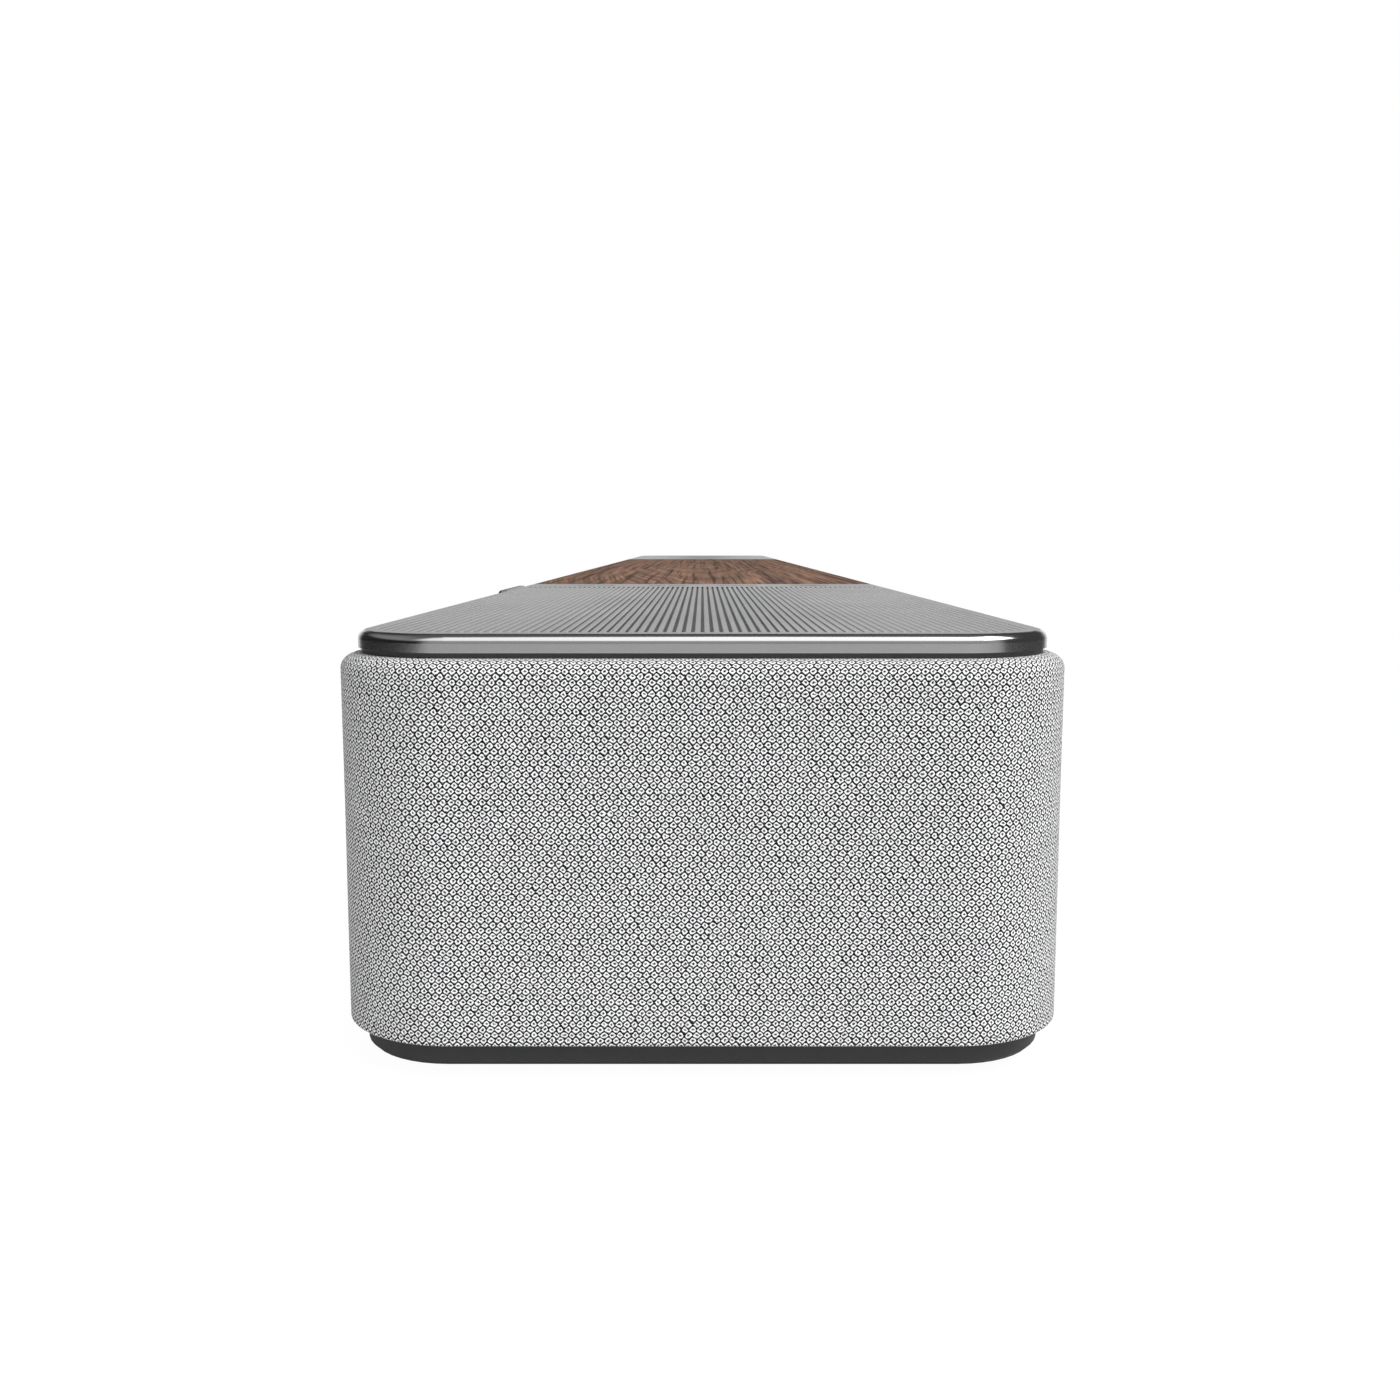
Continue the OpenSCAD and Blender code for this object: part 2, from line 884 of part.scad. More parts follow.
module button_switches() {
    color(c_chip)
        at_buttons() {
            translate([0, 0, button_board_z + 1.7])
                cube([6.2, 6.2, 3.4], center = true);
            translate([0, 0, button_board_z + 3])
                cylinder(h = stem_bottom - button_travel - 0.2 - button_board_z - 3, r = 1.7);
        }
}

// ---------------------------------------------------------------- woofers

module at_woofers() {
    for (x = woofer_places, s = [-1, 1])
        on_baffle(s * x)
            children();
}

module woofer_baskets() {
    color(c_dark_metal)
        at_woofers()
            difference() {
                rotate_extrude()
                    polygon([[w_throat_r, w_flange_t], [woofer_r, w_flange_t], [woofer_r, 0.3],
                             [23.9, 0.3], [23.9, -5], [19, -w_basket_depth], [19, -21.5],
                             [w_gap_r + 0.3, -21.5], [w_gap_r + 0.3, -w_basket_depth],
                             [17.4, -w_basket_depth], [w_throat_r, -5]]);
                ring_of(4, w_screw_r)
                    translate([0, 0, -over])
                        cylinder(h = w_flange_t + 2 * over, r = 1.4);
                for (k = [0 : 3])
                    rotate([0, 0, 90 * k])
                        translate([24, 0, -12])
                            cube([20, 16, 11], center = true);
            }
}

module woofer_magnets() {
    color(c_steel)
        at_woofers()
            rotate_extrude()
                polygon([[w_gap_r, -21.5], [19, -21.5], [19, -24.5], [w_magnet_r, -24.5],
                         [w_magnet_r, -34.5], [19, -34.5], [19, -37.5], [0, -37.5], [0, -21.5],
                         [w_pole_r, -21.5], [w_pole_r, -34], [w_gap_r + 1.5, -34],
                         [w_gap_r + 1.5, -24.5], [w_gap_r, -24.5]]);
}

module woofer_surrounds() {
    roll_r = 1.6;
    color(c_rubber)
        at_woofers()
            rotate_extrude() {
                translate([w_cone_r + 0.5 + roll_r, w_flange_t])
                    intersection() {
                        difference() {
                            circle(r = roll_r);
                            circle(r = roll_r - 0.5);
                        }
                        translate([-roll_r, 0])
                            square([2 * roll_r, roll_r]);
                    }
                translate([w_cone_r + 2 * roll_r, w_flange_t])
                    square([0.6, 0.5]);
            }
}

module woofer_spiders() {
    color(c_copper)
        at_woofers()
            rotate_extrude()
                for (k = [0 : 3])
                    translate([w_gap_r + 2 * k, -12])
                        polygon([[0, 0], [1, 0.8], [2, 0], [2, 0.5], [1, 1.3], [0, 0.5]]);
}

// Paper cone, dust cap and coil former in one moving piece
module woofer_cone(x) {
    cap_r = w_coil_r + 1.2;
    cap_rise = 3.5;
    color(c_cone)
        on_baffle(x)
            rotate_extrude()
                polygon(concat(
                    [[w_coil_r - 0.7, -27], [w_coil_r, -27], [w_coil_r, -7], [w_cone_r, 1.2],
                     [w_cone_r, w_flange_t], [w_cone_r - 1, w_flange_t], [cap_r, -4.6]],
                    [for (k = [1 : 8]) [cap_r * cos(90 * k / 8), -4.6 + cap_rise * sin(90 * k / 8)]],
                    [[0, -2.1], [w_coil_r - 0.7, -6]]
                ));
}

module woofer_cone_far_left() woofer_cone(-woofer_places[1]);
module woofer_cone_near_left() woofer_cone(-woofer_places[0]);
module woofer_cone_near_right() woofer_cone(woofer_places[0]);
module woofer_cone_far_right() woofer_cone(woofer_places[1]);

// ---------------------------------------------------------------- tweeters

module at_tweeters() {
    for (s = [-1, 1])
        on_baffle(s * tweeter_x)
            children();
}

module tweeter_housings() {
    color(c_black)
        at_tweeters()
            difference() {
                rotate_extrude()
                    polygon([[14, t_flange_t], [tweeter_r, t_flange_t], [tweeter_r, 0.3], [16.2, 0.3],
                             [16.2, -8], [10.4, -8], [10.4, -6.5], [14.7, -6.5], [14.7, 0.2],
                             [12.4, 0.2], [12.4, 0.9]]);
                ring_of(4, t_screw_r + 0.6)
                    translate([0, 0, -over])
                        cylinder(h = t_flange_t + 2 * over, r = 1);
            }
}

module tweeter_magnets() {
    color(c_steel)
        at_tweeters()
            rotate_extrude()
                polygon([[10.1, -8], [15.5, -8], [15.5, -19], [0, -19], [0, -8], [8.4, -8],
                         [8.4, -16], [10.1, -16]]);
}

module tweeter_surrounds() {
    color(c_rubber)
        at_tweeters()
            rotate_extrude()
                polygon([[t_dome_r + 0.4, 0.9], [t_dome_r + 1, 1.5], [12.2, 1.3], [12.2, 0.9],
                         [t_dome_r + 1.1, 0.95], [t_dome_r + 0.7, 0.5]]);
}

module tweeter_dome(x) {
    rise = 3;
    color(c_cone)
        on_baffle(x)
            rotate_extrude()
                polygon(concat(
                    [[t_dome_r - 0.5, -12], [t_dome_r, -12], [t_dome_r, 1]],
                    [for (k = [1 : 8]) [t_dome_r * cos(90 * k / 8), 1 + rise * sin(90 * k / 8)]],
                    [for (k = [8 : -1 : 0])
                        [(t_dome_r - 0.5) * cos(90 * k / 8), 0.5 + rise * sin(90 * k / 8)]]
                ));
}

module tweeter_dome_left() tweeter_dome(-tweeter_x);
module tweeter_dome_right() tweeter_dome(tweeter_x);

module driver_gaskets() {
    color(c_rubber) {
        at_woofers()
            difference() {
                cylinder(h = 0.3, r = woofer_r);
                translate([0, 0, -over])
                    cylinder(h = 3, r = 24);
                ring_of(4, w_screw_r)
                    translate([0, 0, -over])
                        cylinder(h = 3, r = 1.4);
            }
        at_tweeters()
            difference() {
                cylinder(h = 0.3, r = tweeter_r);
                translate([0, 0, -over])
                    cylinder(h = 3, r = 16.3);
                ring_of(4, t_screw_r + 0.6)
                    translate([0, 0, -over])
                        cylinder(h = 3, r = 1);
            }
    }
}

module driver_screws() {
    color(c_steel) {
        at_woofers()
            ring_of(4, w_screw_r)
                translate([0, 0, w_flange_t + 1.4])
                    rotate([180, 0, 0])
                        screw(2.1, 1.4, 1.1, 7.2, false);
        at_tweeters()
            ring_of(4, t_screw_r + 0.6)
                translate([0, 0, t_flange_t + 1])
                    rotate([180, 0, 0])
                        screw(1.6, 1, 0.8, 6.4, false);
    }
}

// Flared air port, open at both ends
module port_tubes() {
    color(c_black)
        at_ports()
            to_back()
                rotate_extrude() {
                    translate([port_r - 2.4, -66])
                        square([2.4, 66.8]);
                    translate([port_r - 0.5, 0])
                        square([3.5, 0.8]);
                }
}

// ---------------------------------------------------------------- back panel

module rear_panel() {
    color(c_black)
        difference() {
            union() {
                span([-rear_l / 2 + hair, rear_face - rear_t, fabric_bottom],
                     [rear_l / 2 - hair, rear_face, fabric_top]);
                span([-rear_l / 2 + hair, plinth_d / 2 + 0.5, fabric_top - 2],
                     [rear_l / 2 - hair, rear_face - 1, fabric_top]);
                span([-socket_bay_l / 2 - bay_wall, bay_back - bay_wall, bay_floor - bay_wall],
                     [socket_bay_l / 2 + bay_wall, rear_face - 1, bay_floor + socket_bay_h + bay_wall]);
                for (s = [-1, 1], z = [fabric_bottom + 2, fabric_top - 6])
                    span([min(s * 240, s * 470 - s), rear_face - 1, z],
                         [max(s * 240, s * 470 - s), rear_face + 0.5, z + 1.2]);
            }
            span([-socket_bay_l / 2, bay_back, bay_floor],
                 [socket_bay_l / 2, bar_d, bay_floor + socket_bay_h]);
            at_ports()
                translate([0, -10, 0])
                    to_back()
                        cylinder(h = 20, r = port_r + 0.2);
            at_wall_inserts()
                translate([0, -10, 0])
                    to_back()
                        cylinder(h = 20, r = 3.52);
            at_rear_screws() {
                translate([0, -10, 0])
                    to_back()
                        cylinder(h = 20, r = 1.5);
                translate([0, -1.5, 0])
                    to_back()
                        cylinder(h = 1.6, r1 = 1.5, r2 = 3.1);
            }
            for (s = [-1, 1], k = [-2.5 : 2.5])
                translate([s * 143 + k * 6, rear_face, bay_mid_z + 3])
                    cube([3, 10, 30], center = true);
            socket_holes();
        }
}

// Cut-outs round the sockets in the wall of the recess
module socket_holes() {
    y = bay_back - bay_wall / 2;
    for (x = hdmi_x)
        translate([x, y, board_top + 3.1])
            cube([15.8, 4, 6.8], center = true);
    translate([optical_x, y, board_top + 5])
        cube([10.6, 4, 10.6], center = true);
    translate([usb_x, y, board_top + 3])
        cube([14, 4, 6.5], center = true);
    translate([aux_x, y, board_top + 4])
        cube([8.6, 4, 8.6], center = true);
    translate([inlet_x, y, inlet_z])
        cube([22.6, 4, 14.6], center = true);
}

module wall_inserts() {
    color(c_brass)
        at_wall_inserts()
            translate([0, -12, 0])
                to_back()
                    difference() {
                        cylinder(h = 12, r = 3.5);
                        translate([0, 0, 1])
                            cylinder(h = 12, r = insert_hole_r);
                    }
}

module rear_panel_screws() {
    color(c_steel)
        at_rear_screws()
            rotate([90, 0, 0])
                screw(2.7, 1.2, 1.1, 6.5, true);
}

// ---------------------------------------------------------------- electronics

module circuit_board(x) {
    difference() {
        span([x[0], board_y[0], board_z], [x[1], board_y[1], board_top]);
        at_board_screws()
            translate([0, 0, board_z - over])
                cylinder(h = board_t + 2 * over, r = 1.6);
    }
}

module main_board() {
    color(c_board)
        circuit_board(main_board_x);
}

module power_supply_board() {
    color(c_board)
        circuit_board(power_board_x);
}

module board_screws() {
    color(c_steel)
        at_board_screws()
            translate([0, 0, board_top + 1.6])
                rotate([180, 0, 0])
                    screw(2.6, 1.6, 1.4, 10, false);
}

module board_chips() {
    color(c_chip) {
        for (x = [-52, -30])
            span([x - 7, -22, board_top], [x + 7, -8, board_top + 1.2]);
        span([-112, -24, board_top], [-98, -10, board_top + 1.2]);
        span([-90, -20, board_top], [-80, -8, board_top + 1]);
        for (k = [0 : 5])
            span([-120 + k * 9, 6, board_top], [-115 + k * 9, 10, board_top + 1.1]);
        for (k = [0 : 3])
            translate([8 + k * 7, -24, board_top])
                cylinder(h = 9, r = 2.9);
        for (x = wire_start_x)
            span([x - 2.7, 13, board_top], [x + 2.7, 26, board_top + wire_plug_h]);
    }
}

module heatsink() {
    fins = 9;
    color(c_steel)
        translate([-62, -30, board_top + 1.2]) {
            cube([44, 30, 3]);
            for (k = [0 : fins - 1])
                translate([k * 42.4 / (fins - 1), 0, 2])
                    cube([1.6, 30, 20]);
        }
}

module transformer() {
    color(c_copper)
        translate([126, -6, board_top]) {
            cube([26, 22, 6]);
            translate([3, -3, 6])
                cube([20, 28, 12]);
            translate([0, 0, 18])
                cube([26, 22, 5]);
        }
}

module supply_capacitors() {
    color(c_chip)
        for (p = [[76, -22, 6.5], [92, -22, 6.5], [108, -22, 5], [122, -24, 5]])
            translate([p[0], p[1], board_top])
                cylinder(h = 24, r = p[2]);
}

// Two-pin mains inlet
module power_inlet() {
    pin_x = 4.3;
    depth = 13;
    color(c_chip)
        translate([inlet_x, bay_back, inlet_z])
            rotate([90, 0, 0])
                difference() {
                    translate([-11, -7, 0])
                        cube([22, 14, depth + 2.5]);
                    difference() {
                        translate([0, 0, -over])
                            linear_extrude(depth + over) {
                                for (s = [-1, 1])
                                    translate([s * 4.1, 0])
                                        circle(r = 4.3);
                                square([8.2, 6.8], center = true);
                            }
                        for (s = [-1, 1])
                            translate([s * pin_x, 0, 5])
                                cylinder(h = depth, r = 1.2);
                    }
                }
}

// Metal-shelled socket with a tongue: outer width and height, wall and the tongue's height off centre
module shelled_socket(w, h, tongue_w, tongue_h, tongue_z) {
    shell = 0.5;
    depth = 12;
    difference() {
        translate([-w / 2, -h / 2, 0])
            cube([w, h, depth]);
        difference() {
            translate([-w / 2 + shell, -h / 2 + shell, -over])
                cube([w - 2 * shell, h - 2 * shell, depth + over - 1.5]);
            translate([-tongue_w / 2, tongue_z - tongue_h / 2, 2])
                cube([tongue_w, tongue_h, depth]);
        }
    }
}

module hdmi_sockets() {
    color(c_steel)
        for (x = hdmi_x)
            translate([x, bay_back, board_top + 3.1])
                rotate([90, 0, 0])
                    shelled_socket(15.2, 6.2, 11, 1.6, 0);
}

module usb_socket() {
    color(c_steel)
        translate([usb_x, bay_back, board_top + 2.95])
            rotate([90, 0, 0])
                shelled_socket(13.4, 5.9, 11, 1.7, 1);
}

module optical_socket() {
    color(c_chip)
        translate([optical_x, bay_back, board_top + 5])
            rotate([90, 0, 0])
                difference() {
                    translate([-5, -5, 0])
                        cube([10, 10, 12]);
                    difference() {
                        translate([-4.1, -4.1, -over])
                            cube([8.2, 8.2, 9 + over]);
                        translate([0, 0, 7])
                            cylinder(h = 4, r = 1.2);
                    }
                }
}

module aux_jack() {
    color(c_chip)
        translate([aux_x, bay_back, board_top + 4])
            rotate([90, 0, 0])
                difference() {
                    translate([-4, -4, 0])
                        cube([8, 8, 14]);
                    translate([0, 0, -over])
                        cylinder(h = 12 + over, r = 1.8);
                }
}

module wireless_module() {
    color(c_steel)
        difference() {
            span([-143, -20, board_top], [-125, 8, board_top + 2.6]);
            span([-141, 2, board_top + 1.4], [-127, 9, board_top + 3]);
        }
}

module display_board() {
    color(c_board) {
        span([-display_l / 2 - 20, display_board_y - board_t, driver_z - 13],
             [display_l / 2 + 20, display_board_y, driver_z + 13]);
        for (sx = [-1, 1], sz = [-1, 1])
            translate([sx * (display_l / 2 + 15), display_board_y - 0.2, driver_z + sz * 9])
                to_back()
                    cylinder(h = baffle_front - display_board_y + 0.2, r = 2.5);
        for (k = [-5 : 5])
            translate([k * 11, display_board_y - board_t - 0.6, driver_z])
                cube([9, 1.6, 15], center = true);
    }
}

module display_window() {
    color([0.05, 0.05, 0.06])
        span([-display_l / 2, -bar_d / 2 + 3.4, driver_z - display_h / 2],
             [display_l / 2, -bar_d / 2 + 4.9, driver_z + display_h / 2]);
}

module infrared_receiver() {
    color(c_chip)
        translate([display_l / 2 + 9, display_board_y - board_t, driver_z])
            rotate([90, 0, 0]) {
                translate([-3, -3.5, 0])
                    cube([6, 7, 1.8]);
                cylinder(h = 2.9, r = 2.2);
            }
}

// Flat cable from the main board, over the bay wall, to the button board
module ribbon_cable() {
    z = button_board_z;
    t = 0.6;
    color(c_steel) {
        span([-30, 10, board_top], [-30 + t, 17.5, z + t]);
        span([-30, 10, z], [-22.5, 51.7, z + t]);
        span([-30, 44.2, z], [button_x + 4, 51.7, z + t]);
    }
}

// ---------------------------------------------------------------- speaker wires

// Unit tangent at point i of a path
function tangent(path, i) =
    let (a = path[max(0, i - 1)])
    let (b = path[min(len(path) - 1, i + 1)])
    (b - a) / norm(b - a);

// Ring of points round p, square to the direction t
function hoop(p, t, sides) =
    let (lean = [0.5, 0.7, 0.51])
    let (u = cross(lean, t) / norm(cross(lean, t)))
    let (v = cross(t, u))
    [for (k = [0 : sides - 1]) p + wire_r * (cos(360 * k / sides) * u + sin(360 * k / sides) * v)];

module wire(path) {
    sides = 8;
    last = len(path) - 1;
    polyhedron(
        points = [for (i = [0 : last]) each hoop(path[i], tangent(path, i), sides)],
        faces = concat(
            [[for (k = [0 : sides - 1]) k]],
            [for (i = [0 : last - 1], k = [0 : sides - 1])
                [i * sides + k, (i + 1) * sides + k,
                 (i + 1) * sides + (k + 1) % sides, i * sides + (k + 1) % sides]],
            [[for (k = [sides - 1 : -1 : 0]) last * sides + k]]
        )
    );
}

// One lead from the amplifier to each loudspeaker: down between the boards, then along the floor
module speaker_wires() {
    reach = [woofer_places[0] - 4, woofer_places[1] - 4, tweeter_x - 4];
    stop_y = [-13.6, -13.6, -32];
    color(c_copper)
        for (side = [0, 1], k = [0 : 2]) {
            s = side == 0 ? -1 : 1;
            y = wire_y[k] + side * wire_side_step;
            x0 = wire_start_x[side];
            x1 = wire_drop_x[side];
            plug = board_top + wire_plug_h;
            high = plug + 4 + (side == 0 ? 2.6 : 0);
            low = floor_top + (side == 0 ? 2.2 : 4.8);
            wire([[x0, y, plug], [x0, y, high - 1.5], [x0 + 1.5, y, high],
                  [x1 - 1.5, y, high], [x1, y, high - 1.5], [x1, y, low + 1.5],
                  [x1 + s * 1.5, y, low], [s * (reach[k] - 6), y, low],
                  [s * (reach[k] - 1.5), y - 2, low], [s * reach[k], y - 7, low + 1],
                  [s * reach[k], y - 14, low + 10],
                  [s * reach[k], stop_y[k] + 2, driver_z - 4], [s * reach[k], stop_y[k], driver_z - 4]]);
        }
}

// ---------------------------------------------------------------- every node

base_tray();
rubber_feet();
cabinet_shell();
front_baffle();
top_deck();
grille_frame_front();
grille_frame_right();
grille_frame_left();
grille_fabric();
end_plate_right();
end_plate_left();
wood_panel();
wood_adhesive();
badge();
rear_panel();
volume_down_button();
volume_up_button();
source_button();
power_button();
button_board();
button_switches();
woofer_baskets();
woofer_magnets();
woofer_surrounds();
woofer_spiders();
woofer_cone_far_left();
woofer_cone_near_left();
woofer_cone_near_right();
woofer_cone_far_right();
tweeter_housings();
tweeter_magnets();
tweeter_surrounds();
tweeter_dome_left();
tweeter_dome_right();
driver_gaskets();
port_tubes();
main_board();
board_chips();
heatsink();
power_supply_board();
transformer();
supply_capacitors();
power_inlet();
hdmi_sockets();
optical_socket();
usb_socket();
aux_jack();
display_board();
display_window();
infrared_receiver();
wireless_module();
ribbon_cable();
speaker_wires();
wall_inserts();
case_screws();
driver_screws();
baffle_screws();
board_screws();
plate_screws();
rear_panel_screws();
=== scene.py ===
"""A soundbar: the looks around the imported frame.

Metres, origin on the shelf under the middle of the bar, -Y to the front, +Z up.
"""

import json
import math

import bpy
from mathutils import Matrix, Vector, noise


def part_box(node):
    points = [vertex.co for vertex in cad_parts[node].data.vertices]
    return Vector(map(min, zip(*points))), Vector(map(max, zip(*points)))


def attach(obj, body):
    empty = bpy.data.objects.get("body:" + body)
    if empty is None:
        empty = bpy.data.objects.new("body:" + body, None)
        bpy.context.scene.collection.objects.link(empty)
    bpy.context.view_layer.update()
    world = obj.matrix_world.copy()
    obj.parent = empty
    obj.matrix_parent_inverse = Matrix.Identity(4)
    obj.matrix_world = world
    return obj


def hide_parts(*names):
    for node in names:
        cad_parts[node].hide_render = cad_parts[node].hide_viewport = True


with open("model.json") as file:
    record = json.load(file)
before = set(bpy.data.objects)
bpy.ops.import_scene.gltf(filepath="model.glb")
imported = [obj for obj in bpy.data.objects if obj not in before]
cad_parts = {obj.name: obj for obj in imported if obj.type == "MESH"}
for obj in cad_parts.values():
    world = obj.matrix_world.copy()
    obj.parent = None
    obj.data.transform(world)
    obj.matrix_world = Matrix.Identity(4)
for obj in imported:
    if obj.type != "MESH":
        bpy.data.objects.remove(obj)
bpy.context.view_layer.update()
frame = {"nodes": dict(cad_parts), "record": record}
MM = 0.001


# ---------------------------------------------------------------- node maths


class Signal:
    """A number inside a node tree, so that shader maths reads as maths."""

    def __init__(self, tree, socket):
        self.tree = tree
        self.socket = socket

    def op(self, operation, *others):
        made = self.tree.nodes.new("ShaderNodeMath")
        made.operation = operation
        for socket, value in zip(made.inputs, (self, *others)):
            feed(self.tree, socket, value)
        return Signal(self.tree, made.outputs[0])

    def __add__(self, other):
        return self.op("ADD", other)

    def __sub__(self, other):
        return self.op("SUBTRACT", other)

    def __mul__(self, other):
        return self.op("MULTIPLY", other)

    def __truediv__(self, other):
        return self.op("DIVIDE", other)

    def __neg__(self):
        return self * -1.0

    __radd__ = __add__
    __rmul__ = __mul__

    def __rsub__(self, other):
        return -self + other

    def square(self):
        return self * self

    def root(self):
        return self.op("SQRT")

    def least(self, other):
        return self.op("MINIMUM", other)

    def most(self, other):
        return self.op("MAXIMUM", other)

    def magnitude(self):
        return self.op("ABSOLUTE")

    def sine(self):
        return self.op("SINE")

    def fraction(self):
        """What is left above the whole number, moved to run from -0.5 to 0.5."""
        return self.op("FRACT") - 0.5

    def step(self, start, end, low=0.0, high=1.0):
        """A smooth step from low to high as the number runs from start to end."""
        made = self.tree.nodes.new("ShaderNodeMapRange")
        made.interpolation_type = "SMOOTHSTEP"
        for name, value in (
            ("Value", self),
            ("From Min", start),
            ("From Max", end),
            ("To Min", low),
            ("To Max", high),
        ):
            feed(self.tree, made.inputs[name], value)
        return Signal(self.tree, made.outputs["Result"])


def feed(tree, socket, value):
    """Links a socket to a signal or to another socket, or sets it to a plain value."""
    if isinstance(value, Signal):
        value = value.socket
    if isinstance(value, bpy.types.NodeSocket):
        tree.links.new(value, socket)
    elif hasattr(value, "__len__") and len(value) == 3 and socket.type == "RGBA":
        socket.default_value = (*value, 1.0)
    else:
        socket.default_value = value


class Recipe:
    """A material being made: its node tree, its shader and the textures that feed it."""

    def __init__(self, name, **sockets):
        self.material = bpy.data.materials.new(name)
        self.material.use_nodes = True
        self.tree = self.material.node_tree
        self.shader = self.tree.nodes["Principled BSDF"]
        for socket, value in sockets.items():
            self.set(socket.replace("_", " ").title(), value)

    def set(self, socket, value):
        names = {"Ior": "IOR", "Specular Ior Level": "Specular IOR Level"}
        feed(self.tree, self.shader.inputs[names.get(socket, socket)], value)

    def node(self, kind, **settings):
        made = self.tree.nodes.new(kind)
        for name, value in settings.items():
            setattr(made, name, value)
        return made

    def place(self, stretch=(1, 1, 1)):
        """The point of the object that is being coloured, in metres, stretched along each axis."""
        coordinates = self.node("ShaderNodeTexCoord").outputs["Object"]
        mapping = self.node("ShaderNodeMapping")
        feed(self.tree, mapping.inputs["Vector"], coordinates)
        feed(self.tree, mapping.inputs["Scale"], stretch)
        return mapping.outputs["Vector"]

    def split(self, vector):
        made = self.node("ShaderNodeSeparateXYZ")
        feed(self.tree, made.inputs[0], vector)
        return [Signal(self.tree, made.outputs[k]) for k in range(3)]

    def join(self, x, y, z=0.0):
        made = self.node("ShaderNodeCombineXYZ")
        for socket, value in zip(made.inputs, (x, y, z)):
            feed(self.tree, socket, value)
        return made.outputs[0]

    def cloud(self, size, place=None, detail=2.0, rough=0.5):
        """Noise from 0 to 1 whose lumps are about size metres across."""
        made = self.node("ShaderNodeTexNoise")
        feed(self.tree, made.inputs["Vector"], place if place is not None else self.place())
        feed(self.tree, made.inputs["Scale"], 1 / size)
        feed(self.tree, made.inputs["Detail"], detail)
        feed(self.tree, made.inputs["Roughness"], rough)
        return Signal(self.tree, made.outputs["Fac"])

    def speckle(self, size, place=None):
        """Distance to scattered points about size metres apart, in units of size."""
        made = self.node("ShaderNodeTexVoronoi")
        feed(self.tree, made.inputs["Vector"], place if place is not None else self.place())
        feed(self.tree, made.inputs["Scale"], 1 / size)
        return Signal(self.tree, made.outputs["Distance"])

    def blend(self, amount, low, high):
        """A colour from low to high as amount runs from 0 to 1."""
        made = self.node("ShaderNodeMix", data_type="RGBA")
        feed(self.tree, made.inputs["Factor"], amount)
        feed(self.tree, made.inputs[6], low)
        feed(self.tree, made.inputs[7], high)
        return made.outputs[2]

    def bump(self, height, depth, under=None, strength=1.0):
        """A relief: height runs from 0 to 1 and stands for depth metres."""
        made = self.node("ShaderNodeBump")
        feed(self.tree, made.inputs["Height"], height)
        feed(self.tree, made.inputs["Distance"], depth)
        feed(self.tree, made.inputs["Strength"], strength)
        if under is not None:
            feed(self.tree, made.inputs["Normal"], under)
        return made.outputs["Normal"]

    def normal(self):
        return self.split(self.node("ShaderNodeNewGeometry").outputs["Normal"])


def grey(level):
    return (level, level, level)


# ---------------------------------------------------------------- the knitted fabric

LOOP_W = 1.28 * MM
COURSE_H = 0.925 * MM
RING = (0.41 * MM, 0.34 * MM)  # half width and half height of a loop's ring of yarn
WAVE_H = 0.27 * MM  # how far the gap between two courses swings up and down
WAVE_DROP = 0.05 * MM
KNIT_DRIFT = 9 * MM  # length over which rows and columns wander
KNIT_JITTER = 1.1 * MM
FIBRE = 0.38 * MM
SLUB = 3.2 * MM  # thickness of the faint lighter and darker bands
SLUB_STRETCH = 0.16


def course_shapes(across, up):
    """Distance to the nearest yarn ring, in ring radii, and to the nearest wave between courses, in
    millimetres. Every other course is half a loop along."""
    rings = []
    waves = []
    for shift in (0.0, 0.5):
        x = (across + shift).fraction()
        y = (up / 2.0 + (shift + 0.25)).fraction() * (2 * COURSE_H)
        rings.append(((x * (LOOP_W / RING[0])).square() + (y / RING[1]).square()).root())
        wave = (x * math.tau + math.pi / 2).sine() * WAVE_H
        edge = (up / 2.0 + shift).fraction() * (2 * COURSE_H)
        waves.append((edge - wave + WAVE_DROP).magnitude() / MM)
    return rings[0].least(rings[1]), waves[0].least(waves[1])


def knit():
    """Light grey knit: staggered rings of yarn with dark eyes and a dark wavy gap under each course,
    both painted shade of the knit's hollows.
    """
    recipe = Recipe("knit", roughness=0.9, specular_ior_level=0.1)
    recipe.set("Sheen Weight", 0.1)
    recipe.set("Sheen Roughness", 0.5)
    uv = recipe.node("ShaderNodeUVMap", uv_map="weave").outputs["UV"]
    u, v, _ = recipe.split(uv)
    wander = recipe.cloud(KNIT_DRIFT, uv, detail=1.0) - 0.5
    drift = recipe.cloud(KNIT_DRIFT, recipe.join(v, u), detail=1.0) - 0.5
    jitter = recipe.cloud(KNIT_JITTER, uv, detail=1.0) - 0.5
    across = u / LOOP_W + wander * 0.6 + jitter * 0.45
    up = v / COURSE_H + drift * 0.4 + jitter * 0.3
    ring, wave = course_shapes(across, up)
    yarn = 1.0 - (ring - 1.0).magnitude().step(0.06, 0.44)
    eye = 1.0 - ring.step(0.22, 0.42)
    gap = 1.0 - wave.step(0.07, 0.21)
    fibres = recipe.cloud(FIBRE, uv, detail=3.0, rough=0.7) - 0.5
    course = recipe.cloud(SLUB, recipe.join(u * SLUB_STRETCH, v), detail=2.0) - 0.5
    wale = recipe.cloud(SLUB, recipe.join(u, v * SLUB_STRETCH), detail=2.0) - 0.5
    height = 0.30 + yarn * 0.9 - eye * 1.9 - gap * 2.4
    shade = height + fibres * 4.2 + (course + wale) * 0.12
    # the colour follows the relief height: the eyes and the gaps between courses get painted shade
    # down to near black; the fibre and slub noise is the yarn's own tone
    yarn_tone_and_painted_shade = recipe.blend(shade.step(-0.30, 1.10), grey(0.008), (0.96, 0.96, 0.97))
    recipe.set("Base Color", yarn_tone_and_painted_shade)
    recipe.set("Normal", recipe.bump(height * 0.3 + fibres, 0.05 * MM))
    return recipe.material


# ---------------------------------------------------------------- metals

